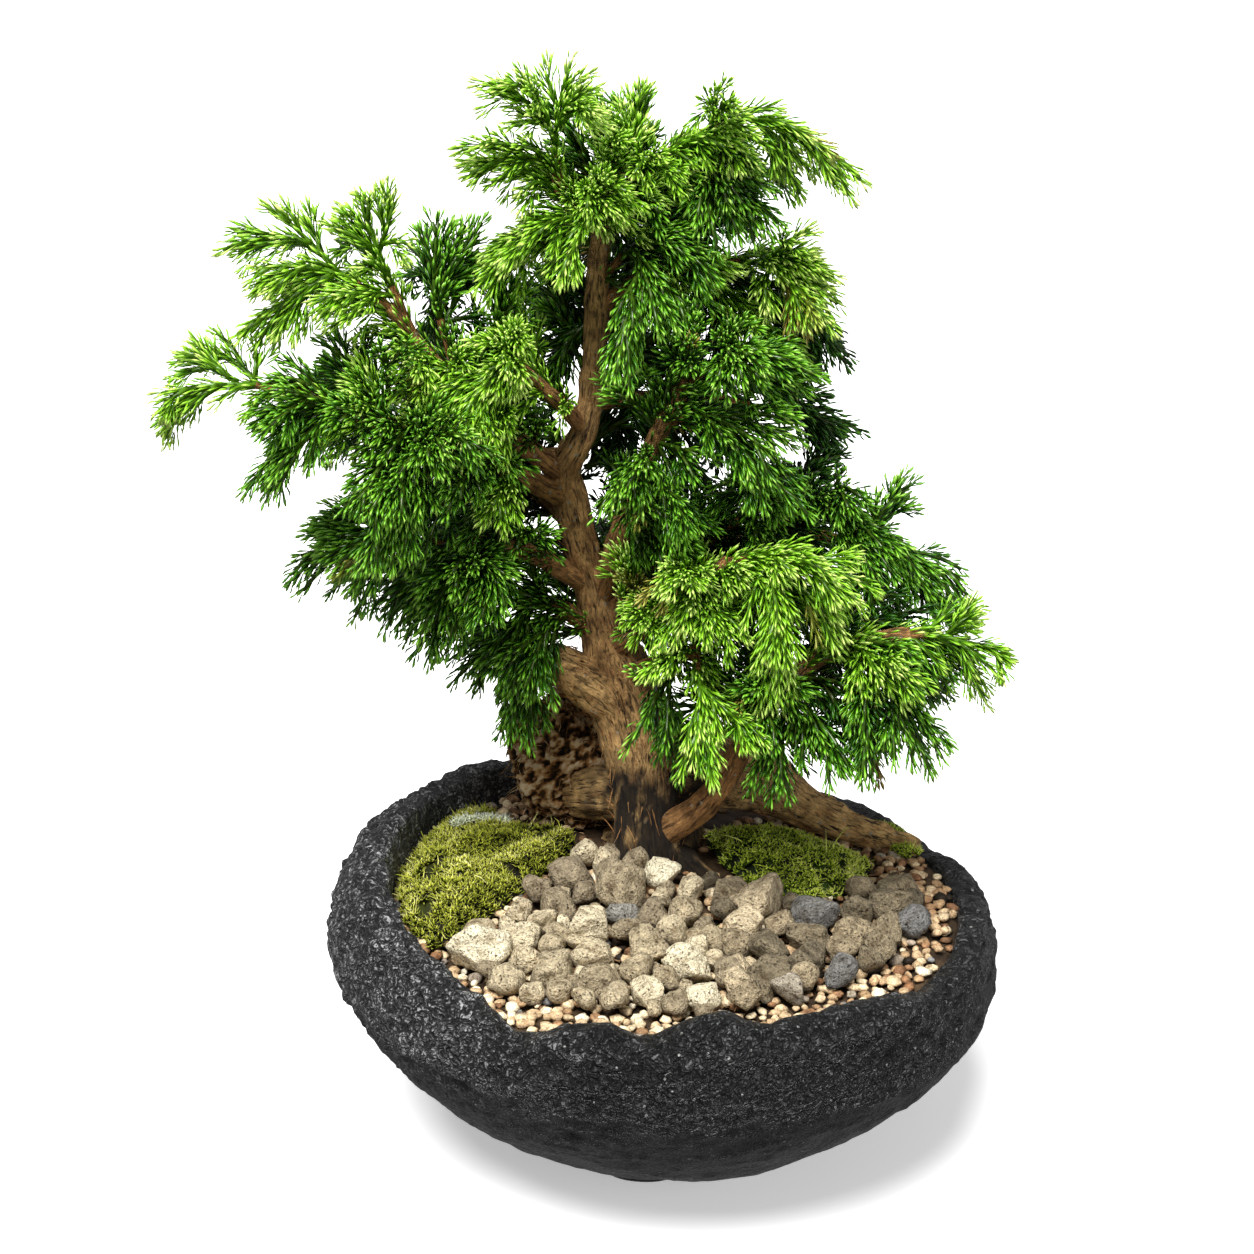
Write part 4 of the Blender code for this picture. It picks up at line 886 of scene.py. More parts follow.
@dataclass
class Bowl:
    """The pinched stoneware bowl with its three feet."""
    sides: int = 360
    outside_rows: int = 84
    lip_rows: int = 9
    inside_rows: int = 9

    def build(self, shop: Workshop) -> None:
        """Make the bowl."""
        shop.place("stoneware_bowl", Skin.joined([self.body()] + [self.foot(a) for a in BOWL.foot_angles]),
                   STONEWARE, ["bowl"], "stoneware")

    def body(self) -> Skin:
        """The wall as a ring-shaped grid.

        Returns:
            Rows run from the drain hole out under the bowl, up the outside, over a half-round lip and
            down the inside to the floor. The outside is moved along its normal by crumples and pits.
        """
        theta = np.arange(self.sides) * 360 / self.sides
        outside = [BOWL.outside(theta, t) for t in np.linspace(0, 1, self.outside_rows)]
        top_r, top_z = outside[-1]
        half = BOWL.wall / 2
        lip = []
        for turn in np.linspace(0, np.pi, self.lip_rows + 2)[1:-1]:
            lip.append((top_r - half + half * np.cos(turn), top_z + 1.8 * np.sin(turn)))
        inner_r = top_r - BOWL.wall
        inside = []
        for s in np.linspace(0, 1, self.inside_rows):
            inside.append((inner_r - 1.5 * s - 24 * s ** 3, top_z + (30.0 - top_z) * s))
        floor = [(np.full(self.sides, r), np.full(self.sides, BOWL.floor)) for r in (40.0, BOWL.drain_radius)]
        under = [(np.full(self.sides, r), np.full(self.sides, BOWL.underside_height))
                 for r in (BOWL.drain_radius, 22.0)]
        rows = np.array(under + outside + lip + inside + floor)
        angle = np.radians(theta)
        points = np.stack([rows[:, 0] * np.cos(angle), rows[:, 0] * np.sin(angle), rows[:, 1]], -1)
        along = np.gradient(points, axis=0)
        round_about = np.roll(points, -1, 1) - np.roll(points, 1, 1)
        normal = unit(np.cross(round_about, along))
        depth, dust, calm = self.relief(points, len(under) + self.outside_rows + self.lip_rows + 5)
        points = points + normal * depth[..., None]
        rows_count = len(rows)
        triangles = grid_triangles(rows_count, self.sides)
        last = (rows_count - 1) * self.sides
        side, beside = np.arange(self.sides), (np.arange(self.sides) + 1) % self.sides
        closing = np.vstack([np.stack([last + side, last + beside, beside], -1),
                             np.stack([last + side, beside, side], -1)])
        return Skin(points.reshape(-1, 3), np.vstack([triangles, closing]),
                    {"dust": dust.ravel(), "calm": calm.ravel()})

    @staticmethod
    def relief(points: Array, shown_rows: int) -> tuple[Array, Array, Array]:
        """How far each point of the wall stands out, how much dust and painted highlight it has and how calm.

        Args:
            points: the smooth wall.
            shown_rows: rows from the first that have relief.

        Returns:
            Broad unevenness 1.1 n(28 mm) plus crumples 1.5 (0.55 - d(4.6 mm)) that fade below the
            belly; dust with a painted highlight on the lit left shoulder, the rim and the crests; calm from 0
            at the rim to 1 low on the wall.
        """
        z = points[..., 2]
        upper = np.clip((z - 34) / 30, 0, 1)
        left = np.clip((-points[..., 0] - 20) / 70, 0, 1)
        broad = 1.1 * fractal(points, 28.0, 2, 3) + 1.1 * fractal(points * (1, 1, 2.2), 11.0, 2, 9)
        crumple = 1.5 * (0.55 - cell_distance(points, 4.6, 5)) + 0.6 * fractal(points, 2.8, 2, 13)
        depth = broad + crumple * (0.25 + 0.75 * upper) * (1 + 0.5 * left)
        shown = np.arange(len(points)) < shown_rows
        ramp = np.clip((z - 4) / 6, 0, 1) * shown[:, None]
        # dust with painted highlight: strongest on the upper left shoulder, where the key light falls, and on
        # the rim
        dust = np.clip(0.22 + 0.95 * left * upper + 0.25 * (z > 78), 0, 1)
        dust = dust * np.clip(0.85 + 0.35 * crumple, 0.4, 1)
        calm = np.clip(1 - (z - 18) / 38, 0, 1) * (1 - 0.4 * left)
        return depth * ramp, dust, calm

    @staticmethod
    def foot(angle: float) -> Skin:
        """A low round foot: a drum whose edge is rounded and whose side is uneven."""
        turn = np.radians(angle)
        centre = BOWL.foot_offset * np.array([np.cos(turn), np.sin(turn)])
        rows = ((0.0, 0.93), (0.5, 0.985), (1.2, 1.0), (4.0, 1.02), (7.5, 1.1))
        round_about = np.arange(64) * 2 * np.pi / 64
        z = np.repeat([row[0] for row in rows], 64).reshape(-1, 64)
        share = np.array([row[1] for row in rows])[:, None]
        radius = BOWL.foot_radius * share * (1 + 0.015 * np.sin(5 * round_about + angle))
        x = centre[0] + radius * np.cos(round_about)
        y = centre[1] + radius * np.sin(round_about)
        points = np.stack([x, y, z], -1).reshape(-1, 3)
        ends = np.array([[*centre, 0.0], [*centre, 7.5]])
        points = np.vstack([points, ends])
        count = len(points)
        return Skin(points, grid_triangles(len(rows), 64, caps=True),
                    {"dust": np.full(count, 0.1), "calm": np.full(count, 0.8)})


# Stones, grit and moss

class RockMaker:
    """Rounded, faceted stones as grids on a ball."""

    def __init__(self, rng: Rng) -> None:
        """Keep a source of random draws."""
        self.rng = rng

    @staticmethod
    def ball(rows: int, sides: int) -> tuple[Array, Array]:
        """Directions and triangles of a ball.

        Args:
            rows: rings between the poles.
            sides: points in a ring.

        Returns:
            Directions (sin v cos u, sin v sin u, -cos v), the two poles last, and the triangles.
        """
        v = np.pi * (np.arange(rows) + 0.75) / (rows + 0.5)
        u = np.arange(sides) * 2 * np.pi / sides
        ring = np.stack([np.sin(v)[:, None] * np.cos(u), np.sin(v)[:, None] * np.sin(u),
                         np.broadcast_to(-np.cos(v)[:, None], (rows, sides))], -1)
        ends = np.array([[0, 0, -1.0], [0, 0, 1.0]])
        return np.vstack([ring.reshape(-1, 3), ends]), grid_triangles(rows, sides, caps=True)

    def turns(self, count: int) -> Array:
        """Random turns, one 3 x 3 matrix each."""
        q, _ = np.linalg.qr(self.rng.normal(0, 1, (count, 3, 3)))
        return q * np.sign(np.linalg.det(q))[:, None, None]

    def rocks(self, centres: Array, radii: Array, grades: Array, grid: tuple[int, int], sharp: float,
              rough: float, flat: float, blue: float) -> Skin:
        """Stones whose surface is the soft meeting of random planes.

        Args:
            centres: middle of each stone.
            radii: size of each stone.
            grades: place of each stone in its row of colours.
            grid: rings of each ball, and points in a ring.
            sharp: how sharp the edges between planes are.
            rough: height of the roughness, as a share of the radius.
            flat: height of a stone over its width.
            blue: share of stones that are blue-grey.

        Returns:
            r(d) = R (sum over planes of (max(d.n, 0) / h)^p)^(-1/p), plus roughness, turned at random;
            the colour darkens towards the underside as painted shade.
        """
        count = len(centres)
        directions, triangles = self.ball(*grid)
        planes = unit(self.rng.normal(0, 1, (count, 12, 3)))
        depths = self.rng.uniform(0.62, 0.96, (count, 12))
        facing = np.maximum(np.einsum("vk,npk->nvp", directions, planes), 0) / depths[:, None]
        reach = (facing ** sharp).sum(-1) ** (-1 / sharp)
        reach = np.clip(reach, 0.6, 1.18)
        points = directions[None] * reach[..., None]
        spot = points * 2.1 + self.rng.uniform(-90, 90, (count, 1, 3))
        if rough:
            bump = 0.7 * fractal(spot, 0.8, 2, 21) + fractal(spot, 0.42, 2, 31)
            points *= 1 + rough * bump[..., None]
        stretch = self.rng.uniform(0.86, 1.16, (count, 1, 3))
        points = np.einsum("nvk,nkj->nvj", points * stretch, self.turns(count))
        points[..., 2] *= flat
        # painted shade: each stone's grade darkens towards its underside
        dark_below = np.clip(-points[..., 2] - 0.05, 0, 1) * 0.7
        points = points * radii[:, None, None] + centres[:, None]
        every = triangles[None] + np.arange(count)[:, None, None] * len(directions)
        tint = np.where(self.rng.uniform(0, 1, count) < blue, self.rng.uniform(0.5, 1.0, count), 0.0)
        return Skin(points.reshape(-1, 3), every.reshape(-1, 3),
                    {"grade": np.clip(grades[:, None] - dark_below, 0, 1).ravel(),
                     "tint": np.repeat(tint, len(directions))})


@dataclass
class StoneBed:
    """Pumice stones packed together inside an outline."""
    name: str
    node: str
    slot: str
    finish: Finish
    outline: Outline
    stones: tuple[tuple[float, float, float, float], ...]
    small_grade: tuple[float, float]
    fill: int
    blue: float = 0.035
    small: tuple[float, float] = (2.0, 5.0)
    big_from: float = 5.4
    closeness: float = 0.93
    tries: int = 24

    def placed(self, rng: Rng) -> Array:
        """Stones as x, y, radius, grade: the big ones given, and small ones where there is room."""
        stones = [list(stone) for stone in self.stones]
        corners = np.array(self.outline)
        for radius in np.sort(rng.uniform(*self.small, self.fill))[::-1]:
            for _ in range(self.tries):
                spot = rng.uniform(corners.min(0), corners.max(0))
                if not inside_outline(spot[None], self.outline)[0]:
                    continue
                near = np.array(stones)
                gap = np.hypot(near[:, 0] - spot[0], near[:, 1] - spot[1])
                if (gap - self.closeness * (near[:, 2] + radius)).min() > 0:
                    stones.append([*spot, radius, rng.uniform(*self.small_grade)])
                    break
        return np.array(stones)

    def build(self, shop: Workshop, rng: Rng) -> Array:
        """Make the bed and return where its stones are."""
        stones = self.placed(rng)
        maker = RockMaker(rng)
        x, y, radius, grade = stones.T
        big = radius > self.big_from
        rise = np.where(big, 0.62, 0.8)
        base = GROUND.height(x, y) + 1.4 + rng.uniform(0, 1.6, len(x)) * (radius < self.big_from)
        centres = np.stack([x, y, base + rise * radius], 1)
        skins = []
        for kept, swell, grid, sharp, rough in ((big, 1.08, (24, 32), 40.0, 0.075),
                                                (~big, 1.12, (12, 15), 30.0, 0.08)):
            skins.append(maker.rocks(centres[kept], swell * radius[kept], grade[kept], grid, sharp, rough,
                                     0.9, self.blue))
        shop.place(self.name, Skin.joined(skins), self.finish, [self.node], self.slot)
        return stones


@dataclass
class GritLayer:
    """The fine grit: a rough surface with rounded pebbles on it."""
    sides: int = 120
    rows: int = 56
    spacing: float = 3.7
    flakes: int = 90
    pebble: tuple[float, float] = (1.4, 2.9)
    shake: float = 1.3
    underside: float = 66.4
    shade: tuple[float, float, float] = (0.0, 40.0, 40.0)

    def build(self, shop: Workshop, stones: Array, covers: Sequence[Outline],
              rng: Rng) -> None:
        """Make the layer.

        Args:
            shop: the workshop.
            stones: x, y and radius of the stones that lie on it.
            covers: outlines of the moss that hides it.
            rng: source of random draws.
        """
        x, y, radius = self.pebble_places(stones, covers, rng)
        flat = rng.uniform(0.55, 0.8, len(x))
        centres = np.stack([x, y, GROUND.height(x, y) + 0.5 + rng.uniform(0, 1.5, len(x))], 1)
        front = np.clip((-y - 10) / 60, 0, 1)
        grades = np.clip(rng.normal(0.48 + 0.16 * front, 0.22, len(x)), 0, 1)
        maker = RockMaker(rng)
        pebbles = maker.rocks(centres, radius, grades, (3, 8), 6.0, 0.0, float(flat.mean()), 0.05)
        layer = Skin.joined([self.surface(), pebbles, self.litter(rng)])
        shop.place("grit_layer", layer, GRIT, ["gravel"], "tan_grit")

    def litter(self, rng: Rng) -> Skin:
        """Fallen leaf flakes: short brown slivers that lie on the grit and stones in front."""
        turn, away = rng.uniform(0, 2 * np.pi, self.flakes), rng.uniform(30, 84, self.flakes)
        x, y = away * np.cos(turn), away * np.sin(turn)
        bases = np.column_stack([x, y, GROUND.height(x, y) + rng.uniform(2.5, 4.0, self.flakes)])
        ways = unit(np.column_stack([rng.normal(0, 1, (self.flakes, 2)), rng.normal(0, 0.15, self.flakes)]))
        skin = strands(bases, ways, rng.uniform(2.5, 6.0, self.flakes), 0.4, 0.05, 0.3, rng)
        grade = 0.2 + 0.16 * skin.values["tone"]
        return Skin(skin.points, skin.triangles, {"grade": grade, "tint": np.zeros(len(grade))})

    def pebble_places(self, stones: Array, covers: Sequence[Outline],
                      rng: Rng) -> tuple[Array, Array, Array]:
        """Places and sizes of the pebbles on a shaken grid: few in the shade behind the stem, and none
        that nobody could see."""
        steps = np.arange(-100, 100, self.spacing)
        x, y = (a.ravel() for a in np.meshgrid(steps, steps))
        x = x + rng.uniform(-self.shake, self.shake, len(x))
        y = y + rng.uniform(-self.shake, self.shake, len(y))
        radius = rng.uniform(*self.pebble, len(x))
        theta = np.degrees(np.arctan2(y, x))
        kept = np.hypot(x, y) < BOWL.inside_radius(theta) - 0.6 * radius
        away = np.hypot(x[:, None] - stones[None, :, 0], y[:, None] - stones[None, :, 1])
        kept &= (away - 0.62 * stones[None, :, 2]).min(1) > 0
        spots = np.stack([x, y], 1)
        for outline in covers:
            kept &= ~(inside_outline(spots, outline) & (edge_distance(spots, outline) > 2.0))
        bare = np.hypot(x - self.shade[0], y - self.shade[1]) < self.shade[2]
        kept &= ~(bare & (rng.uniform(0, 1, len(x)) < 0.75))
        return x[kept], y[kept], radius[kept]

    def surface(self) -> Skin:
        """The disc under the pebbles: height + 1.1 n(3.6 mm), closed by a flat underside."""
        theta = np.arange(self.sides) * 360 / self.sides
        edge = BOWL.inside_radius(theta)
        angle = np.radians(theta)
        share = np.concatenate([[0.97], np.linspace(1, 0.02, self.rows)])[:, None]
        x, y = share * edge * np.cos(angle), share * edge * np.sin(angle)
        z = GROUND.height(x, y) - 0.4
        z[0] = self.underside
        points = np.stack([x, y, z], -1)
        points[1:, :, 2] += 1.1 * fractal(points[1:], 3.6, 3, 71)
        flat = points.reshape(-1, 3)
        ends = np.array([[0, 0, self.underside], [0, 0, GROUND.height(0, 0) - 0.4]])
        # painted shade: the disc under the pebbles is near-black brown, the dark of the gaps between them
        tone = 0.07 + 0.1 * fractal(np.vstack([flat, ends]), 9.0, 2, 77)
        return Skin(np.vstack([flat, ends]), grid_triangles(self.rows + 1, self.sides, caps=True),
                    {"grade": np.clip(tone, 0, 1), "tint": np.zeros(len(tone))})


@dataclass
class Moss:
    """A cushion of moss: a dark mound, partly the moss's own dark under-growth and partly painted shade,
    covered in small leafy stars.
    """
    name: str
    node: str
    slot: str
    finish: Finish
    outline: Outline
    height: float
    stars: int
    leaf: float
    strays: int
    patches: tuple[Point, ...] = ()
    half_leaf: float = 0.5

    def mound(self, x: Array, y: Array) -> Array:
        """Height of the cushion: ground + 1.5 + height (1 - exp(-d / 7 mm)) with lumps of 12 mm."""
        spots = np.stack([x, y], 1)
        depth = 1 - np.exp(-edge_distance(spots, self.outline) / 7.0)
        lumps = fractal(np.stack([x, y, np.zeros_like(x)], 1), 11.0, 3, 41)
        return GROUND.height(x, y) + 1.5 + depth * (self.height + 5.5 * lumps)

    def build(self, shop: Workshop, rng: Rng) -> None:
        """Make the cushion."""
        skins = [self.cushion(), self.stars_on(self.cushion_spots(rng), rng)]
        skins += [self.stars_on(self.patch_spots(patch, rng), rng) for patch in self.patches]
        if self.strays:
            skins.append(self.stray_stems(rng))
        shop.place(self.name, Skin.joined(skins), self.finish, [self.node], self.slot)

    def cushion(self) -> Skin:
        """The mound: the outline shrunk to its middle in rows, on a flat underside."""
        corners = np.array(self.outline + self.outline[:1], float)
        edge = respaced(np.column_stack([corners, np.zeros(len(corners))]), 91)[:-1, :2]
        middle = edge.mean(0)
        share = np.concatenate([[0.9], np.linspace(1, 0.03, 24)])[:, None, None]
        flat = middle + (edge[None] - middle) * share
        x, y = flat[..., 0].ravel(), flat[..., 1].ravel()
        z = self.mound(x, y) + 1.6 * fractal(np.stack([x, y, 0 * x], 1), 3.2, 2, 53)
        z[:len(edge)] = GROUND.height(x[:len(edge)], y[:len(edge)]) + 0.3
        ends = np.array([[*middle, GROUND.height(*middle) + 0.3], [*middle, self.mound(*middle[:, None])[0]]])
        points = np.vstack([np.stack([x, y, z], 1), ends])
        # the mound's near-black tone: dark under-growth and painted shade between the stars
        tone = np.clip(0.05 + 0.16 * fractal(points, 5.0, 2, 43), 0, 1)
        return Skin(points, grid_triangles(25, len(edge), caps=True), {"tone": tone})

    def cushion_spots(self, rng: Rng) -> Array:
        """Feet of the stars on the cushion, which leave dark holes of painted shade between them."""
        corners = np.array(self.outline)
        spots = rng.uniform(corners.min(0) - 1, corners.max(0) + 1, (self.stars * 3, 2))
        spots = spots[inside_outline(spots, self.outline)][:self.stars]
        base = np.column_stack([spots, self.mound(*spots.T)])
        return base[fractal(base, 6.0, 2, 49) > -0.27]

    @staticmethod
    def patch_spots(patch: Point, rng: Rng) -> Array:
        """Feet of the stars on a small round patch: two to each square millimetre, domed by 0.35 r."""
        x, y, radius = patch
        count = int(6 * radius + 1.2 * radius ** 2)
        turn, share = rng.uniform(0, 2 * np.pi, count), np.sqrt(rng.uniform(0, 1, count))
        spots = np.column_stack([x + radius * share * np.cos(turn), y + 0.8 * radius * share * np.sin(turn)])
        lift = 2.4 + 0.35 * radius * (1 - share ** 2)
        return np.column_stack([spots, GROUND.height(*spots.T) + lift])

    def stars_on(self, base: Array, rng: Rng) -> Skin:
        """Leafy stars: six slim leaves each, spread round an upright stem.

        Args:
            base: foot of each star.
            rng: source of random draws.

        Returns:
            Each leaf is a closed spike of four triangles from the stem to b + leaf (out c + z s).
        """
        count, leaves = len(base), 6
        tall = rng.uniform(0.4, 1.0, count) ** 0.7
        tilt = rng.normal(0, 0.28, (count, 2))
        up = unit(np.column_stack([tilt, np.ones(count)]))
        angle = rng.uniform(0, 2 * np.pi, (count, 1)) + np.arange(leaves) * 2 * np.pi / leaves
        lift = np.radians(rng.uniform(8, 66, (count, leaves)))
        out = np.stack([np.cos(angle), np.sin(angle), np.zeros_like(angle)], -1)
        way = unit(np.cos(lift)[..., None] * out + np.sin(lift)[..., None] * up[:, None])
        climb = self.leaf * 0.75 * tall[:, None, None] * rng.uniform(0, 1, (count, leaves, 1))
        root = base[:, None] + up[:, None] * climb
        tip = root + way * (self.leaf * (0.6 + 0.5 * tall[:, None, None]))
        side = unit(np.cross(way, np.array([0.0, 0.0, 1.0])) + 1e-6)
        below = np.cross(side, way)
        side = side * self.half_leaf
        points = np.stack([root + side, root - side, root - below * 0.25 + way * 0.3, tip], 2)
        index = np.arange(count * leaves)[:, None, None] * 4
        triangles = np.array([[0, 1, 2], [0, 3, 1], [1, 3, 2], [2, 3, 0]]) + index
        patch = fractal(base, 9.0, 3, 47)[:, None, None] * 0.34
        # leaves dark at the root and bright at the tip: the moss's own colour, with painted shade deep in the
        # cushion
        tone = np.array([0.12, 0.12, 0.0, 1.0]) + patch + rng.normal(0, 0.1, (count, leaves, 1))
        return Skin(points.reshape(-1, 3), triangles.reshape(-1, 3), {"tone": np.clip(tone, 0, 1).ravel()})

    def stray_stems(self, rng: Rng) -> Skin:
        """Longer yellow stems that lean out of the cushion."""
        corners = np.array(self.outline)
        spots = rng.uniform(corners.min(0), corners.max(0), (self.strays * 4, 2))
        spots = spots[inside_outline(spots, self.outline)][:self.strays]
        base = np.column_stack([spots, self.mound(*spots.T)])
        way = unit(rng.normal(0, 0.8, base.shape) + (0, 0, 0.7))
        skin = strands(base, way, rng.uniform(4, 10, len(base)), 0.3, 0.2, 0.4, rng)
        skin.values["tone"] = 0.55 + 0.45 * skin.values["tone"]
        return skin


@dataclass
class LichenFleck:
    """A pale fleck of lichen along a line on a cushion of moss."""
    cushion: Moss
    start: tuple[float, float] = (-72.0, 33.0)
    end: tuple[float, float] = (-53.0, 40.0)
    half_width: float = 1.5
    stars: int = 70

    def build(self, shop: Workshop, rng: Rng) -> None:
        """Make it of small stars whose feet stand 1.8 mm above the moss."""
        share = rng.uniform(0, 1, (self.stars, 1)) ** 0.8
        spots = (1 - share) * np.array(self.start) + share * np.array(self.end)
        spots = spots + rng.normal(0, 0.5 * self.half_width, spots.shape)
        base = np.column_stack([spots, self.cushion.mound(*spots.T) + 1.8])
        shop.place("lichen_fleck", self.cushion.stars_on(base, rng), LICHEN, [], "moss_left")


# Wood

@dataclass
class Limb:
    """One limb of the tree: its path with radii, and how old its bark is."""
    name: str
    age: float
    points: tuple[tuple[float, float, float, float], ...]

    def skin(self, fine: float) -> Skin:
        """The limb with bark raised along it.

        Args:
            fine: distance between points of the grid.

        Returns:
            Radius r (1 + fibres + ridges + lumps) + knots; fibres are noise stretched along the limb.
        """
        path = smooth_path(self.points, fine)
        centres, radius = path[:, :3], path[:, 3]
        sides = int(np.clip(2 * np.pi * radius.max() / fine, 8, 84))
        along = arc(centres)
        angle = np.arange(sides) * 2 * np.pi / sides
        spot = np.stack(np.broadcast_arrays(np.cos(angle) * radius[:, None], np.sin(angle) * radius[:, None],
                                            along[:, None] * 0.16), -1)
        offset = sum(ord(letter) for letter in self.name) * 3.7
        fibre = fractal(spot + offset, 1.6, 3, 51)
        ridge = 1 - np.abs(fractal(spot * (1, 1, 0.6) + offset, 5.0, 2, 57)) * 2
        lumps = fractal(spot * (0.5, 0.5, 2.5) + offset, 6.5, 2, 61)
        knots = np.clip(0.42 - cell_distance(spot * (1, 1, 5.0) + offset, 9.0, 63), 0, 1)
        thick = np.minimum(radius, 12.0)[:, None]
        grown = radius[:, None] + thick * (0.10 * fibre + 0.10 * (ridge - 0.5) * self.age + 0.10 * lumps)
        grown = grown + knots * (1.2 + 2.2 * self.age)
        points, triangles = tube(centres, grown, sides)
        ends = np.array([spot[0].mean(0), spot[-1].mean(0)])
        grain = np.vstack([spot.reshape(-1, 3), ends]) + offset
        groove = np.clip(0.35 - fibre * 0.8, 0, 1).ravel()
        count = len(points)
        # how strongly the grooves darken: more on old wood, and more in the recessed grooves as painted shade
        wear = np.concatenate([np.clip(0.35 + groove + 0.3 * self.age, 0, 1), [0.5, 0.5]])
        return Skin(points, triangles, {"grain": grain, "age": np.full(count, self.age), "wear": wear,
                                        "soot": np.zeros(count)})


WOOD: dict[str, Limb] = {limb.name: limb for limb in (
    Limb("stem", 0.55, ((-4, 13, 78, 12), (-5, 17, 92, 11), (-6, 25, 106, 10.5), (-8, 32, 123, 12.5),
                        (-13, 36, 140, 12), (-20, 36, 160, 8), (-25, 34, 183, 5.6), (-30, 31, 206, 6),
                        (-32, 30, 219, 5), (-26, 28, 233, 4.2), (-23, 27, 250, 3.9), (-22, 27, 267, 3.7),
                        (-21, 27, 287, 3.5), (-19, 28, 304, 2.8), (-14, 29, 314, 2.2))),
    Limb("broken_stub", 0.6, ((-31, 31, 209, 4.5), (-35, 31, 219, 4), (-37, 31, 225, 2.8))),
    Limb("old_stub", 0.8, ((-12, 34, 132, 9), (-26, 32, 144, 8.5), (-37, 28, 153, 6.5))),
    Limb("left_root", 0.8, ((-6, 24, 106, 9), (-20, 40, 99, 10), (-34, 55, 91, 8), (-42, 62, 82, 5))),
    Limb("shoulder", 1.0, ((-4, 30, 112, 10), (14, 46, 105, 13.5), (34, 51, 98, 11), (47, 48, 91, 7.5),
                           (61, 44, 85, 5.8), (76, 40, 81, 4.4), (88, 35, 80, 3.2))),
    Limb("front_root", 0.7, ((4, 14, 86, 6), (16, 5, 81, 4), (25, -2, 78, 2))),
    Limb("low_branch", 0.2, ((0, 15, 95, 5.5), (12, 8, 108, 4.8), (21, 2, 123, 4.2), (27, -2, 138, 3.6),
                             (34, -4, 152, 3.2), (50, -6, 168, 2.8), (66, -8, 175, 2.3), (78, -8, 177, 1.9))),
    Limb("crown", 0.1, ((-20, 28, 298, 2.6), (-27, 23, 307, 2.2), (-34, 19, 318, 1.9))),
    Limb("top_right", 0.1, ((-15, 29, 309, 2.4), (-5, 26, 319, 2.1), (10, 22, 331, 1.8))),
    Limb("upper_right", 0.1, ((-21, 27, 275, 2.8), (-2, 30, 285, 2.4), (18, 33, 288, 1.9))),
    Limb("right_limb", 0.2, ((-21, 34, 174, 4.2), (-10, 22, 212, 3.4), (-2, 13, 237, 3.0), (7, 8, 256, 2.3))),
    Limb("right_back", 0.2, ((-24, 27, 243, 3.0), (-1, 50, 237, 2.6), (22, 62, 232, 2.0))),
    Limb("right_mid", 0.2, ((-20, 35, 170, 4.2), (6, 40, 183, 3.4), (36, 46, 191, 2.7), (56, 45, 190, 2.1))),
    Limb("bright_limb", 0.1, ((-16, 33, 155, 3.6), (6, 10, 182, 2.7), (20, -4, 200, 2.0))),
    Limb("apron", 0.1, ((-14, 34, 144, 3.6), (2, 12, 160, 2.7), (10, -6, 170, 2.0))),
    Limb("upper_left", 0.2, ((-31, 30, 216, 3.8), (-50, 22, 234, 3.2), (-70, 14, 257, 2.6),
                             (-86, 8, 280, 2.0))),
    Limb("left_long", 0.2, ((-30, 31, 208, 4.0), (-56, 14, 227, 3.3), (-83, 0, 242, 2.7),
                            (-108, -9, 255, 2.2), (-120, -12, 260, 1.8))),
    Limb("left_back", 0.2, ((-29, 32, 200, 3.8), (-56, 60, 213, 3.0), (-84, 78, 217, 2.1))),
    Limb("left_low", 0.2, ((-25, 34, 178, 3.8), (-47, 18, 196, 3.0), (-68, 6, 203, 2.1))),
    Limb("left_pendant", 0.2, ((-19, 36, 156, 3.6), (-33, 31, 170, 2.8), (-44, 29, 173, 2.0))),
    Limb("front_limb", 0.1, ((-26, 28, 234, 2.8), (-34, 15, 247, 2.4), (-43, 6, 259, 1.8))),
    Limb("back_limb", 0.2, ((-23, 27, 258, 3.0), (-17, 50, 268, 2.4), (-13, 60, 272, 1.9))),
    Limb("back_low", 0.2, ((-18, 37, 163, 3.6), (-10, 57, 176, 2.8), (-2, 68, 181, 2.1))),
)}


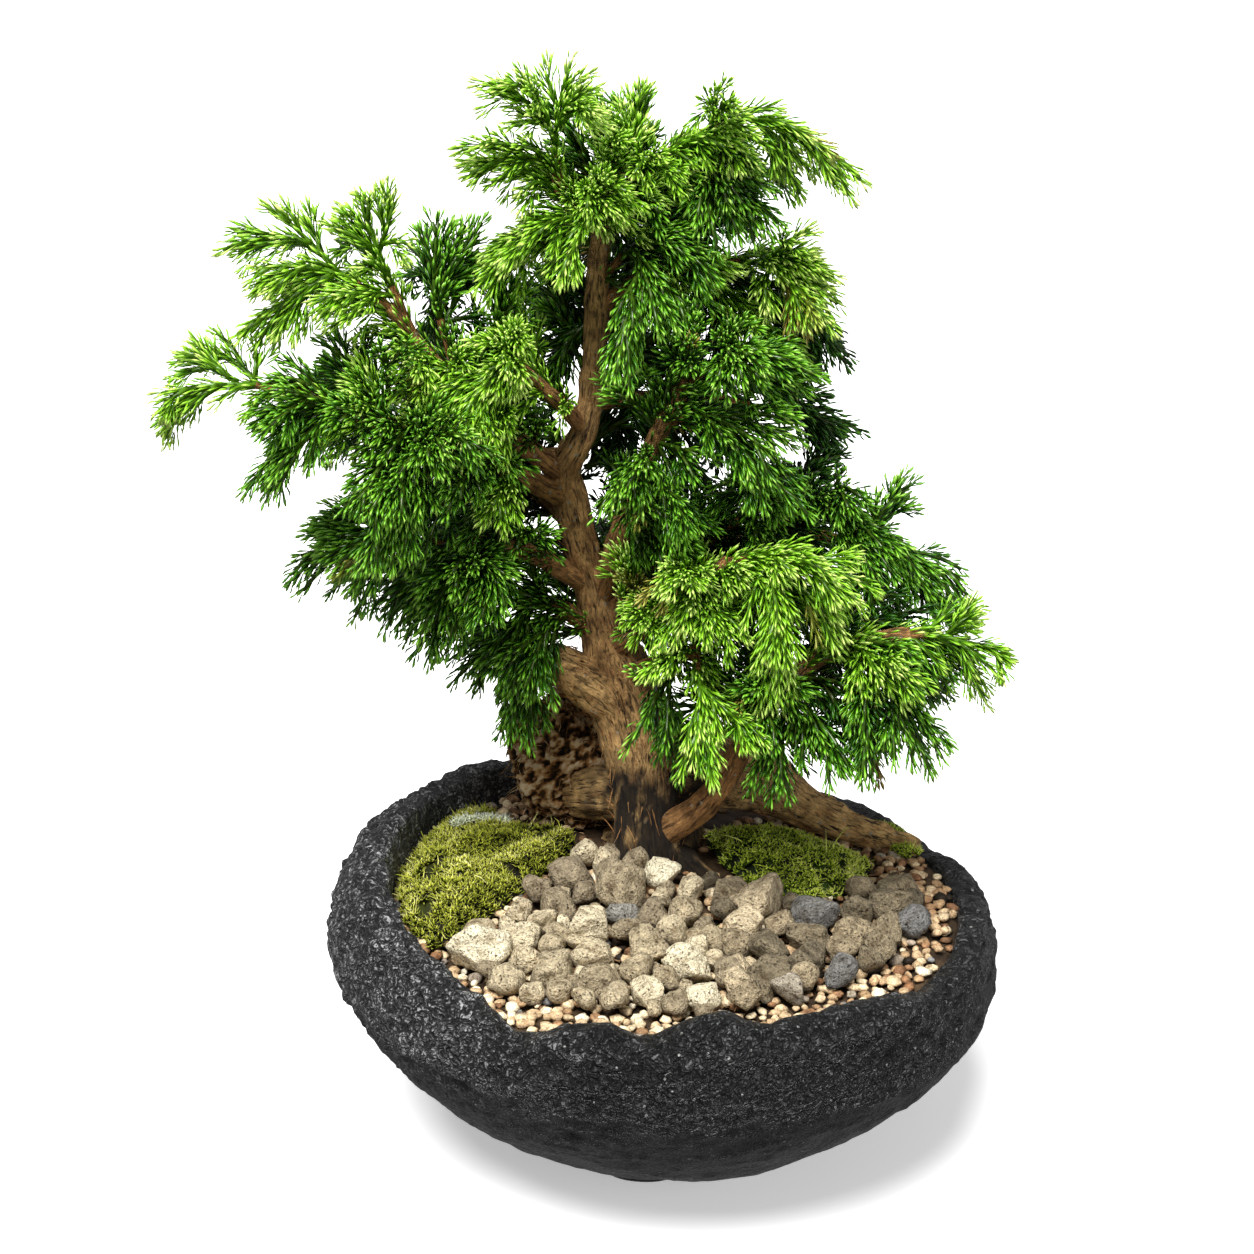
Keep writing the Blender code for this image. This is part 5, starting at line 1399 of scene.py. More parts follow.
@dataclass
class Tree:
    """The wood: plug, stem, roots and limbs, the brown twigs to each spray and loose bark fibres."""
    plug: tuple[tuple[float, float, float, float], ...] = (
        (-2, 34, 42, 15), (-2, 34, 64, 19), (-2, 34, 79, 19), (-1, 34, 87, 15), (0, 36, 101, 11))
    old_step: float = 1.25
    young_step: float = 1.9

    def build(self, shop: Workshop, twigs: Sequence[Array], rng: Rng) -> None:
        """Make the wood.

        Args:
            shop: the workshop.
            twigs: path and radius of each twig between a limb and its spray.
            rng: source of random draws.
        """
        skins = [Limb("plug", 1.0, self.plug).skin(3.0)]
        for limb in WOOD.values():
            skins.append(limb.skin(self.old_step if limb.age > 0.4 else self.young_step))
        for number, twig in enumerate(twigs):
            skins.append(Limb(f"twig{number}", 0.0, tuple(map(tuple, twig))).skin(2.0))
        wood = Skin.joined(skins)
        wood.values["soot"] = self.soot(wood.points) * (wood.values["age"] > 0.3)
        wood.values["age"] = np.clip(wood.values["age"] + 0.5 * np.clip((150 - wood.points[:, 2]) / 60, 0, 1)
                                     * (wood.values["age"] > 0.3), 0, 1)
        shop.place("tree_wood", Skin.joined([wood, self.fibres(rng)]), BARK, ["trunk"], "bark")

    @staticmethod
    def soot(points: Array) -> Array:
        """Darkness of the fissured foot of the stem: bands of noise that fade above 114 mm."""
        low = np.clip((122 - points[:, 2]) / 12, 0, 1)
        bands = fractal(points * (1, 1, 0.3), 4.2, 3, 83)
        near = np.exp(-((points[:, 0] + 1) ** 2 + (points[:, 1] - 12) ** 2) / 800)
        return np.clip(low * near * (1.45 + 1.7 * bands), 0, 0.975)

    @staticmethod
    def fibres(rng: Rng) -> Skin:
        """Loose bark fibres on the lower stem and along the big root."""
        limbs = [("stem", 0.02, 0.5, 210), ("shoulder", 0.0, 0.9, 150), ("old_stub", 0.1, 1.0, 50)]
        bases, ways = [], []
        for name, low, high, count in limbs:
            path = smooth_path(WOOD[name].points, 0.5)
            spot = rng.integers(int(low * len(path)), int(high * (len(path) - 1)), count)
            forward = unit(np.gradient(path[:, :3], axis=0))[spot]
            out = unit(np.cross(forward, rng.normal(0, 1, (count, 3))))
            bases.append(path[spot, :3] + out * path[spot, 3:] * 0.97)
            ways.append(unit(forward * rng.choice([-1, 1], (count, 1)) + 0.35 * out))
        skin = strands(np.vstack(bases), np.vstack(ways), rng.uniform(3, 9, 410), 0.28, 0.15, 0.25, rng)
        tone = skin.values["tone"]
        values = {"grain": skin.points * 0.4, "age": 0.3 * tone, "wear": np.full(len(tone), 0.15),
                  "soot": np.zeros(len(tone))}
        return Skin(skin.points, skin.triangles, values)


@dataclass
class PeatLump:
    """The block of old peat and dead root beside the stem."""
    centre: Point = (-31.0, 57.0, 103.0)
    half: Point = (21.0, 17.0, 22.0)
    rows: int = 80
    sides: int = 120
    fibres: int = 760

    def build(self, shop: Workshop, rng: Rng) -> None:
        """Make the lump with its fibres."""
        body = self.body()
        chosen = rng.integers(0, self.rows * self.sides, self.fibres)
        bases = body.points[chosen]
        out = unit(bases - np.array(self.centre))
        ways = unit(np.cross(out, rng.normal(0, 1, out.shape)) + 0.5 * out)
        hair = strands(bases - 0.5 * out, ways, rng.uniform(2.5, 7.5, self.fibres), 0.34, 0.1, 0.5, rng)
        hair.values["tone"] = 0.35 + 0.5 * hair.values["tone"]
        shop.place("peat_block", Skin.joined([body, hair]), PEAT, ["peat_lump"], "peat")

    def body(self) -> Skin:
        """The lump: a ball with sides (sin v)^0.7, ragged by 1.8 n(9 mm) - hollows + 2.3 crumbs."""
        v = np.pi * (np.arange(self.rows) + 0.75) / (self.rows + 0.5)
        u = np.arange(self.sides) * 2 * np.pi / self.sides
        wide = np.sin(v)[:, None] ** 0.7
        rough = 1 + 0.09 * np.sin(3 * u + v[:, None] * 3.8) + 0.06 * np.sin(5 * u - v[:, None] * 1.9)
        down = np.broadcast_to(-np.cos(v)[:, None], (self.rows, self.sides))
        way = np.stack([-wide * np.cos(u), -wide * np.sin(u), down], -1)
        points = np.array(self.centre) + way * np.array(self.half) * rough[..., None]
        ends = np.array(self.centre) + np.array([[0, 0, -1.0], [0, 0, 1.0]]) * self.half[2]
        points = np.vstack([points.reshape(-1, 3), ends])
        out = unit(points - np.array(self.centre))
        hollow = np.clip(0.6 - cell_distance(points, 3.2, 91), 0, 1)
        crumb = fractal(points, 1.7, 3, 93)
        deep = 1.8 * fractal(points, 9.0, 2, 95) - hollow + 2.3 * crumb
        points = points + out * deep[:, None]
        floor = GROUND.height(points[:, 0], points[:, 1]) + 0.6
        points[:, 2] = np.maximum(points[:, 2], floor)
        # painted shade: the tone is darker in the hollows
        tone = np.clip(0.54 - 0.5 * hollow + 1.9 * crumb, 0, 1)
        return Skin(points, grid_triangles(self.rows, self.sides, caps=True), {"tone": tone})


# Foliage

class Green(Enum):
    """How young a spray is, and how lit it is painted: bright sprays out on the lit top and front, deep ones
    in painted shade at the back.
    """
    BRIGHT = "bright"
    FRESH = "fresh"
    DEEP = "deep"

    @property
    def finish(self) -> Needles:
        """The needles' finish."""
        return {Green.BRIGHT: BRIGHT_NEEDLES, Green.FRESH: FRESH_NEEDLES, Green.DEEP: DEEP_NEEDLES}[self]

    @property
    def tone(self) -> float:
        """How far the whole spray is moved along its row of colours: up for lit sprays and down for shaded
        ones, as painted light.
        """
        return {Green.BRIGHT: 0.11, Green.FRESH: 0.03, Green.DEEP: -0.04}[self]

    @property
    def thin(self) -> float:
        """How far apart its needles stand, against those of a young spray."""
        return {Green.BRIGHT: 1.0, Green.FRESH: 1.22, Green.DEEP: 1.5}[self]

    @property
    def broad(self) -> float:
        """How broad its needles are, against those of a young spray."""
        return {Green.BRIGHT: 1.0, Green.FRESH: 1.09, Green.DEEP: 1.2}[self]

    @property
    def youth(self) -> float:
        """How fresh its shoots are."""
        return {Green.BRIGHT: 0.95, Green.FRESH: 0.75, Green.DEEP: 0.5}[self]


@dataclass
class Shoot:
    """A shoot: its path, freshness and dryness, whether its stem is shown, and the wood's girth."""
    path: Array
    fresh: float
    dry: float = 0.0
    cored: bool = True
    girth: float = 0.0


@dataclass
class NeedleCoat:
    """How needles sit on a shoot."""
    length: float = 8.0
    spacing: float = 0.75
    half_width: float = 0.45
    base_lean: float = 23.0
    end_lean: float = 8.0
    bare: float = 0.8
    stem_from: float = 22.0
    stem_gap: float = 1.35
    widest_at: float = 0.76
    width_spread: tuple[float, float] = (0.85, 1.15)
    length_spread: tuple[float, float] = (0.84, 1.06)
    # tone at the base, the three ring points and the tip of each needle: darker at the base and lighter at
    # the tip, partly the needle's own colour, partly painted shade at the base and a painted highlight
    # towards the tip
    tone_and_painted_light_along: tuple[float, ...] = (-0.2, 0.2, 0.2, 0.12, 0.42)

    def skins(self, shoots: Sequence[Shoot], green: "Green", rng: Rng) -> Skin:
        """Cores and needles of some shoots.

        Args:
            shoots: the shoots.
            green: how young the spray is, which sets how dense and light its needles are.
            rng: source of random draws.

        Returns:
            One skin; needle k stands at the golden angle k GOLDEN_TURN round its shoot.
        """
        parts, rows = [], []
        for shoot in shoots:
            total = arc(shoot.path)[-1]
            if shoot.cored:
                core = respaced(shoot.path, 3 if total < 20 else 6)
                points, triangles = tube(core, np.linspace(1.2, 0.7, len(core)), 3)
                count = len(points)
                parts.append(Skin(points, triangles, {"tone": np.full(count, 0.12 + 0.12 * shoot.fresh),
                                                      "dry": np.full(count, 0.08 + 0.5 * shoot.dry)}))
            apart = self.spacing * green.thin * (self.stem_gap if total > self.stem_from else 1.0)
            places = np.arange(self.bare, total + self.bare, apart)
            spots = respaced(shoot.path, max(8, int(total)))
            forward, side, across = carried_frames(spots)
            share = places / total
            index = np.clip((share * (len(spots) - 1)).round().astype(int), 0, len(spots) - 1)
            turn = np.arange(len(places)) * GOLDEN_TURN + rng.uniform(0, 6)
            out = np.cos(turn)[:, None] * side[index] + np.sin(turn)[:, None] * across[index]
            base = at_distance(shoot.path, places) + shoot.girth * out
            rows.append(np.column_stack([base, forward[index], out, np.minimum(share, 1.0),
                                         np.full((len(places), 2), (shoot.fresh, shoot.dry))]))
        return Skin.joined(parts + [self.needles(np.vstack(rows), green, rng)])

    def needles(self, rows: Array, green: "Green", rng: Rng) -> Skin:
        """Needles as closed spindles.

        Args:
            rows: base, forward, outward, share along the shoot, freshness, dryness.
            green: how young the spray is.
            rng: source of random draws.

        Returns:
            A needle starts at a point on the shoot, leaves at base_lean, is widest at three quarters of
            its length, where it bends to end_lean, and closes in a blunt point; its ridge faces outward.
        """
        base, forward, out = rows[:, :3], rows[:, 3:6], rows[:, 6:9]
        share, fresh, dry = rows[:, 9], rows[:, 10], rows[:, 11]
        count = len(rows)
        closing = np.clip((share - 0.7) / 0.3, 0, 1)
        lean = np.radians(self.base_lean * (1 - 0.1 * closing) + rng.normal(0, 4, count))
        end = np.radians(self.end_lean + rng.normal(0, 7, count))
        length = self.length * rng.uniform(*self.length_spread, count) * (1 - 0.32 * closing)

        def way(angle: Array) -> Array:
            """Direction at an angle from the shoot."""
            return np.cos(angle)[:, None] * forward + np.sin(angle)[:, None] * out

        middle = base + self.widest_at * length[:, None] * way(lean)
        tip = middle + (1 - self.widest_at) * length[:, None] * way(end)
        flat = unit(np.cross(forward, out))
        back = np.cross(way(lean), flat)
        corners = ((1.0, 0.3), (-1.0, 0.3), (0.0, -0.7))
        width = self.half_width * green.broad * rng.uniform(*self.width_spread, (count, 1))
        ring = [middle + width * (a * flat + b * back) for a, b in corners]
        points = np.stack([base, *ring, tip], 1)
        triangles = np.array([[2, 1, 0], [3, 2, 0], [1, 3, 0], [1, 2, 4], [2, 3, 4], [3, 1, 4]])
        every = triangles[None] + np.arange(count)[:, None, None] * 5
        young = 0.05 + fresh * (0.18 + 0.5 * share ** 2)
        shade = young[:, None] + np.array(self.tone_and_painted_light_along) + green.tone + rng.normal(0, 0.09, (count, 1))
        return Skin(points.reshape(-1, 3), every.reshape(-1, 3),
                    {"tone": np.clip(shade, 0, 1).ravel(), "dry": np.repeat(dry, 5)})


@dataclass
class Spray:
    """A spray: where it leaves the wood, and the tips that its stems reach."""
    name: str
    limb: str
    place: float
    lift: float
    green: Green
    tips: tuple[Point, ...]
    spread: int = 2
    full: float = 1.0
    fills: tuple[tuple[Point, Point], ...] = ()
    green_length: float = 33.0

    def stems(self) -> tuple[Array, list[Array]]:
        """The brown twig with its radius, and the green stems.

        Returns:
            The twig is straight to 33 mm before the first tip. The first stem bows from there to that
            tip; a further stem leaves it at a fifth of its length for its own tip.
        """
        path = smooth_path(WOOD[self.limb].points, 1.0)
        spot = min(int(self.place * (len(path) - 1)), len(path) - 2)
        base, radius = path[spot, :3], path[spot, 3]
        lead = unit(path[spot + 1, :3] - path[max(spot - 3, 0), :3])
        tip = np.array(self.tips[0], float)
        reach = np.linalg.norm(tip - base)
        way = unit(0.45 * lead + (tip - base) / reach + np.array([0, 0, 0.6 * self.lift]))
        foot = base + way * max(radius + 5.0, reach - self.green_length)
        twig = np.array([[*base, min(radius, 1.7)], [*(base + foot) / 2, 1.3], [*foot, 1.1]])
        stems = [self.bow(foot, way, tip)]
        fork = at_distance(stems[0], 0.2 * arc(stems[0])[-1])
        for goal in self.tips[1:]:
            goal = np.array(goal, float)
            out = unit(0.3 * way + unit(goal - fork) + np.array([0, 0, 0.4 * self.lift]))
            stems.append(self.bow(fork, out, goal))
        return twig, stems

    @staticmethod
    def bow(foot: Array, way: Array, tip: Array) -> Array:
        """The curve (1-t)^2 foot + 2t(1-t) bend + t^2 tip, with the bend 0.4 of the reach along way."""
        bend = foot + 0.4 * np.linalg.norm(tip - foot) * way
        t = np.linspace(0, 1, 25)[:, None]
        curve = (1 - t) ** 2 * foot + 2 * t * (1 - t) * bend + t ** 2 * tip
        total = arc(curve)[-1]
        return at_distance(curve, np.linspace(0, total - 3.5, 25))


@dataclass
class Foliage:
    """All sprays, and how they branch."""
    coat: NeedleCoat = field(default_factory=NeedleCoat)
    side_step: float = 4.6
    side_length: tuple[float, float] = (8.0, 15.0)
    side_angle: tuple[float, float] = (22.0, 50.0)
    sight: float = 0.404
    stem_margin: float = 6.0
    shoot_margin: float = 4.0
    dry_share: float = 0.014
    sprouts: dict[Green, int] = field(default_factory=lambda: {
        Green.BRIGHT: 2, Green.FRESH: 3, Green.DEEP: 4})
    stem: Array = field(default_factory=lambda: smooth_path(WOOD["stem"].points, 2.0))
    low: Point = (-153.0, -44.0, 122.0)
    high: Point = (107.0, 100.0, 353.0)
    clothed: dict[str, float] = field(default_factory=lambda: {
        "left_long": 0.3, "upper_left": 0.5, "left_low": 0.2, "left_pendant": 0.15, "left_back": 0.05,
        "low_branch": 0.6, "top_right": 0.0, "crown": 0.1, "upper_right": 0.25, "right_mid": 0.3,
        "right_back": 0.05, "bright_limb": 0.3, "apron": 0.45, "front_limb": 0.4, "back_limb": 0.1,
        "back_low": 0.15, "right_limb": 0.7})

    def twigs(self) -> list[Array]:
        """Path and radius of the brown twig of each spray."""
        return [spray.stems()[0] for spray in SPRAYS]

    def build(self, shop: Workshop) -> None:
        """Make every spray."""
        for number, spray in enumerate(SPRAYS):
            rng = np.random.default_rng(500 + number)
            twig, stems = spray.stems()
            shoots = []
            for axis in stems + self.fanned(stems, spray.spread, rng):
                shoots += self.plume(axis, spray.green.youth, rng, spray.full)
            for foot, tip in np.array(spray.fills, float).reshape(-1, 2, 3):
                reach = tip - foot
                axis = spray.bow(foot, unit(reach + np.array([0, 0, 0.4 * np.linalg.norm(reach)])), tip)
                shoots += self.plume(axis, spray.green.youth - 0.1, rng)
            for axis in self.sprouted(spray, twig, rng):
                shoots += self.plume(axis, spray.green.youth - 0.2, rng)
            shoots += self.clothing(spray, twig, rng)
            skin = self.coat.skins(shoots, spray.green, rng)
            shop.place("needles_" + spray.name, skin, spray.green.finish, ["spray_" + spray.name],
                       "needles_" + spray.green.value)

    def clothing(self, spray: Spray, twig: Array, rng: Rng) -> list[Shoot]:
        """Needles and side shoots on the twig itself, and on the outer part of the limb that ends here."""
        axes = [(twig[:, :3], 1.0)]
        if spray.place == 1.0 and spray.limb in self.clothed:
            limb = smooth_path(WOOD[spray.limb].points, 2.0)
            outer = limb[int(self.clothed[spray.limb] * len(limb)):]
            axes.append((outer[:, :3], outer[:, 3].mean() * 0.85))
        shoots = []
        for axis, girth in axes:
            grown = self.plume(respaced(axis, 20), spray.green.youth - 0.2, rng)
            grown[0].girth, grown[0].cored = girth, False
            shoots += grown
        return shoots

    def fanned(self, stems: Sequence[Array], number: int, rng: Rng) -> list[Array]:
        """More stems between and around the given ones, from the lower half of each."""
        extra = []
        for stem in stems:
            total = arc(stem)[-1]
            for _ in range(number):
                base = at_distance(stem, rng.uniform(0.02, 0.45) * total)
                ahead = unit(at_distance(stem, total) - base)
                swing = unit(np.cross(ahead, rng.normal(0, 1, 3)))
                way = unit(ahead + swing * rng.uniform(0.4, 0.8))
                extra.append(self.arch(base, way, ahead, total * rng.uniform(0.55, 0.85)))
        return [curve for curve in extra if self.clears_stem(curve, self.stem_margin)]

    def sprouted(self, spray: Spray, twig: Array, rng: Rng) -> list[Array]:
        """Stems that clothe the limb and the twig of a spray, kept off the front of the tree's stem.

        Args:
            spray: the spray.
            twig: its brown twig.
            rng: source of random draws.

        Returns:
            Curves that leave the wood at about 60 degrees in any direction round it.
        """
        limb = smooth_path(WOOD[spray.limb].points, 1.0)
        found = []
        for attempt in range(30):
            if attempt % 3 == 2:
                share = rng.uniform(0, 1)
                base = twig[0, :3] + share * (twig[-1, :3] - twig[0, :3])
                ahead = unit(twig[-1, :3] - twig[0, :3])
            else:
                low = 0.15 if spray.limb != "stem" else 0.8
                top = spray.place if attempt % 3 == 0 else 0.6
                share = rng.uniform(low, max(top, low + 0.1))
                spot = int(share * (len(limb) - 2))
                base, ahead = limb[spot, :3], unit(limb[spot + 1, :3] - limb[spot, :3])
            out = unit(np.cross(ahead, rng.normal(0, 1, 3)))
            way = unit(0.5 * ahead + out + np.array([0, 0, 0.2]))
            curve = self.arch(base, way, ahead, rng.uniform(20, 34))
            if self.clears_stem(curve, self.stem_margin):
                found.append(curve)
            if len(found) == self.sprouts[spray.green] + spray.spread:
                break
        return found

    def arch(self, base: Array, way: Array, ahead: Array, length: float) -> Array:
        """A stem b + L (way s + 0.25 ahead s^2 - 0.3 z s^2), kept within the tree's reach."""
        s = np.linspace(0, 1, 16)[:, None]
        curve = base + length * (way * s + 0.25 * ahead * s ** 2 - np.array([0, 0, 0.3]) * s ** 2)
        return np.clip(curve, self.low, self.high)

    def clears_stem(self, curve: Array, margin: float) -> bool:
        """Whether a curve stays a margin off the sight lines, 22 degrees down, to the bare wood.

        Args:
            curve: the curve.
            margin: how near to the middle of the wood, sideways, it may come.

        Returns:
            False if any point hides the stem's front or the first bend of the low branch.
        """
        x, y, z = curve.T
        behind = z - self.sight * (30 - y)
        gap = np.abs(x - np.interp(behind, self.stem[:, 2], self.stem[:, 0]))
        hides = (gap < margin) & (y < 34) & (behind > 118) & (behind < 292)
        behind = z - self.sight * (5 - y)
        gap = np.abs(x - np.interp(behind, (95, 108, 123, 138), (0, 12, 21, 27)))
        hides |= (gap < margin + 2) & (y < 8) & (behind > 98) & (behind < 132)
        return not hides.any()

    def plume(self, axis: Array, young: float, rng: Rng, full: float = 1.0) -> list[Shoot]:
        """A stem with side shoots, longest in its lower half, that lean forward and droop.

        Args:
            axis: the stem.
            young: how fresh it is.
            rng: source of random draws.
            full: length of the side shoots against the usual one.

        Returns:
            The stem and its side shoots; about one side shoot in seventy is dry.
        """
        total = arc(axis)[-1]
        shoots = [Shoot(axis, young)]
        level = unit(np.cross(axis[-1] - axis[0], [0, 0, 1.0]) + 1e-6)
        side = rng.choice([-1, 1])
        for place in np.arange(0.12 * total, total - 3.5, self.side_step):
            u = place / total
            side = -side
            base = at_distance(axis, place + rng.uniform(-1.5, 1.5))
            ahead = unit(at_distance(axis, min(place + 3.5, total)) - base)
            upward = np.cross(level, ahead)
            swing = rng.normal(0, 1.1)
            out = unit(side * np.cos(swing) * level + np.sin(swing) * upward)
            angle = np.radians(rng.uniform(*self.side_angle) * (1.1 - 0.5 * u))
            way = np.cos(angle) * ahead + np.sin(angle) * out
            longest = np.interp(np.sin(np.pi * min(u + 0.18, 1)), [0, 1], self.side_length)
            length = min(full * longest * rng.uniform(0.6, 1.15), 0.75 * (total - place) + 5)
            fresh = max(0.0, young * rng.uniform(0.6, 1.05))
            dry = rng.uniform(0.4, 0.9) if rng.uniform() < self.dry_share else 0.0
            curve = self.side_shoot(base, way, ahead, length)
            if not self.clears_stem(curve, self.shoot_margin) and rng.uniform() < 0.85:
                continue
            shoots.append(Shoot(curve, fresh, dry))
            if length > 8.5:
                shoots += self.twiglets(curve, length, fresh, dry, rng)
        return shoots

    def side_shoot(self, base: Array, way: Array, ahead: Array, length: float) -> Array:
        """The curve b + L (way s + 0.35 ahead s^2 - 0.36 z s^2.5), kept within the tree's reach."""
        s = np.linspace(0, 1, 9)[:, None]
        curve = base + length * (way * s + 0.35 * ahead * s ** 2 - np.array([0, 0, 0.36]) * s ** 2.5)
        return np.clip(curve, self.low, self.high)

    def twiglets(self, curve: Array, length: float, fresh: float, dry: float,
                 rng: Rng) -> list[Shoot]:
        """One to three short shoots on a long side shoot."""
        found = []
        for place in (0.2, 0.45, 0.65)[:rng.integers(1, 4 if length > 11 else 3)]:
            ahead = unit(curve[-1] - curve[0])
            out = unit(np.cross(ahead, rng.normal(0, 1, 3)))
            reach = length * rng.uniform(0.45, 0.62)
            path = self.side_shoot(at_distance(curve, place * length), unit(ahead + 0.7 * out), ahead, reach)
            found.append(Shoot(path, 0.95 * fresh, dry, cored=False))
        return found


B, F, D = Green.BRIGHT, Green.FRESH, Green.DEEP
SPRAYS: tuple[Spray, ...] = (
    Spray("crown_top", "crown", 1.00, 0.1, B, ((-28, 14, 358), (-52, 8, 352)), 1, 0.8),
    Spray("crown_left", "crown", 0.60, 0.3, B, ((-60, 2, 328),), 0, 0.8),
    Spray("crown_right", "stem", 1.00, 0.1, B, ((-13, 22, 341), (-26, 40, 334)), 1, 0.85),
    Spray("crown_front", "stem", 0.94, 0.5, B, ((-30, -6, 297), (-50, 4, 302)), 1),
    Spray("crown_back", "stem", 0.97, 0.3, F, ((-18, 62, 322), (6, 58, 310))),
    Spray("top_right", "top_right", 1.00, 0.7, B, ((51, 6, 328), (38, 22, 318)), 1, 0.85, fills=(
        ((-4, 26, 320), (18, 8, 336)), ((4, 24, 326), (28, 12, 334)))),
    Spray("top_under", "top_right", 0.50, 0.1, F, ((28, 38, 312), (20, 4, 318))),
    Spray("upper_right", "upper_right", 1.00, 0.3, B, ((53, 18, 282), (42, 12, 302))),
    Spray("upper_right_low", "upper_right", 0.80, 0.2, D, ((46, 44, 258), (28, 60, 276))),
    Spray("upper_right_front", "stem", 0.87, 0.4, F, ((14, 0, 298), (-8, -10, 274))),
    Spray("right_limb_top", "right_limb", 1.00, 0.2, F, ((40, -2, 268), (20, -12, 280))),
    Spray("right_limb_side", "right_limb", 0.80, 0.3, F, ((32, -16, 240),)),
    Spray("right_limb_hang", "right_limb", 0.60, 0.4, F, ((-8, -20, 236),), 1),
    Spray("right_back", "right_back", 1.00, 0.2, D, ((60, 68, 218), (48, 88, 244))),
    Spray("right_back_up", "right_back", 0.60, 0.4, D, ((10, 92, 256), (26, 94, 226)), fills=(
        ((-24, 34, 226), (-2, 48, 236)), ((-22, 36, 204), (4, 46, 216)), ((-18, 34, 250), (4, 50, 262)),
        ((-20, 36, 186), (0, 52, 200)), ((-26, 36, 218), (-6, 44, 218)))),
    Spray("right_mid", "right_mid", 1.00, 0.3, F, ((92, 30, 182), (78, 46, 211))),
    Spray("right_mid_front", "right_mid", 0.70, 0.2, F, ((58, 8, 222), (72, 8, 196))),
    Spray("right_mid_in", "right_mid", 0.40, 0.2, F, ((32, 0, 222),), fills=(
        ((2, 38, 182), (26, 24, 172)), ((-8, 30, 168), (14, 20, 172)), ((8, 40, 184), (36, 20, 190)),
        ((14, 38, 184), (36, 24, 164)))),
    Spray("right_mid_back", "right_mid", 0.75, 0.2, D, ((62, 84, 190), (34, 88, 196))),
    Spray("bright", "bright_limb", 1.00, 0.3, B, ((54, -28, 202), (34, -34, 182)), fills=(
        ((10, 5, 188), (26, -22, 204)), ((16, 0, 196), (38, -18, 208)))),
    Spray("bright_left", "bright_limb", 0.70, 0.3, B, ((-2, -24, 206),)),
    Spray("apron", "apron", 1.00, 0.2, B, ((8, -38, 142), (30, -36, 152)), 0, 0.85),
    Spray("apron_left", "apron", 0.70, 0.3, F, ((-14, -22, 140), (-12, -20, 170)), 0, 0.9),
    Spray("low_tip", "low_branch", 1.00, 0.2, B, ((112, -10, 168), (98, -2, 186)), 1, 0.85),
    Spray("low_middle", "low_branch", 0.84, 0.2, F, ((74, -32, 150), (88, 14, 156)), fills=(
        ((58, -7, 172), (78, -24, 178)),)),
    Spray("low_inner", "low_branch", 0.62, 0.2, F, ((46, -28, 146),), 1, 0.85, fills=(
        ((26, -1, 137), (8, 4, 158)), ((28, -2, 140), (30, 14, 160)), ((33, -4, 150), (24, -20, 162)),
        ((40, -5, 158), (26, 4, 174)), ((50, -6, 168), (44, 4, 150)))),
    Spray("low_back", "low_branch", 0.72, 0.2, D, ((56, 24, 160), (70, 18, 196))),
    Spray("upper_left", "upper_left", 1.00, 0.5, B, ((-127, -6, 296), (-122, 10, 312)), 1, 0.85),
    Spray("upper_left_up", "upper_left", 0.84, 0.3, B, ((-94, 4, 318), (-104, 28, 298)), 1),
    Spray("upper_left_mid", "upper_left", 0.58, 0.2, F, ((-70, 20, 307), (-72, 44, 288))),
    Spray("upper_left_in", "upper_left", 0.40, 0.2, F, ((-44, 26, 284),), fills=(
        ((-27, 32, 232), (-46, 46, 258)), ((-24, 30, 256), (-42, 42, 284)), ((-30, 34, 222), (-50, 36, 240)),
        ((-24, 31, 244), (-36, 38, 276)), ((-23, 29, 270), (-37, 26, 254)))),
    Spray("left_tip", "left_long", 1.00, 0.2, B, ((-157, -20, 260), (-145, -8, 273)), 1, 0.85),
    Spray("left_low", "left_long", 0.78, 0.3, F, ((-122, -24, 236),), 1),
    Spray("left_up", "left_long", 0.62, 0.2, F, ((-106, 10, 272), (-116, 30, 250)), fills=(
        ((-84, 0, 242), (-104, -22, 254)), ((-96, -5, 249), (-118, -24, 262)),
        ((-74, 4, 237), (-90, -18, 250)), ((-104, -8, 253), (-124, -26, 254)))),
    Spray("left_front", "left_long", 0.44, 0.4, F, ((-84, -32, 228), (-70, -24, 256))),
    Spray("back_left", "left_back", 1.00, 0.2, D, ((-122, 90, 212), (-106, 74, 240))),
    Spray("back_left_up", "left_back", 0.60, 0.3, D, ((-78, 90, 252), (-44, 96, 238)), fills=(
        ((-30, 36, 196), (-52, 46, 214)), ((-27, 38, 180), (-50, 50, 190)),
        ((-40, 46, 206), (-60, 50, 232)))),
    Spray("back_left_low", "left_back", 0.74, 0.1, D, ((-70, 92, 188), (-92, 58, 192))),
    Spray("lower_left", "left_low", 1.00, 0.2, F, ((-104, -8, 202), (-110, 14, 214))),
    Spray("lower_left_down", "left_low", 0.64, 0.3, F, ((-78, -4, 180), (-58, -16, 204))),
    Spray("pendant", "left_pendant", 1.00, 0.3, F, ((-54, 26, 147), (-64, 46, 166)), fills=(
        ((-23, 36, 164), (-42, 40, 182)),)),
    Spray("pendant_front", "left_pendant", 0.60, 0.4, F, ((-38, 6, 150),), 0, 0.8),
    Spray("front", "front_limb", 1.00, 0.3, B, ((-52, -16, 276), (-62, -12, 248))),
    Spray("back_top", "back_limb", 1.00, 0.3, D, ((-2, 84, 296), (-42, 80, 292)), fills=(
        ((-20, 38, 263), (-42, 44, 268)), ((-20, 42, 264), (-37, 46, 248)),
        ((-19, 44, 266), (-34, 46, 288)))),
    Spray("back_low", "back_low", 1.00, 0.2, D, ((18, 96, 178), (-30, 92, 174)), fills=(
        ((-11, 54, 174), (-14, 47, 214)), ((-12, 52, 172), (-34, 50, 190)))),
)

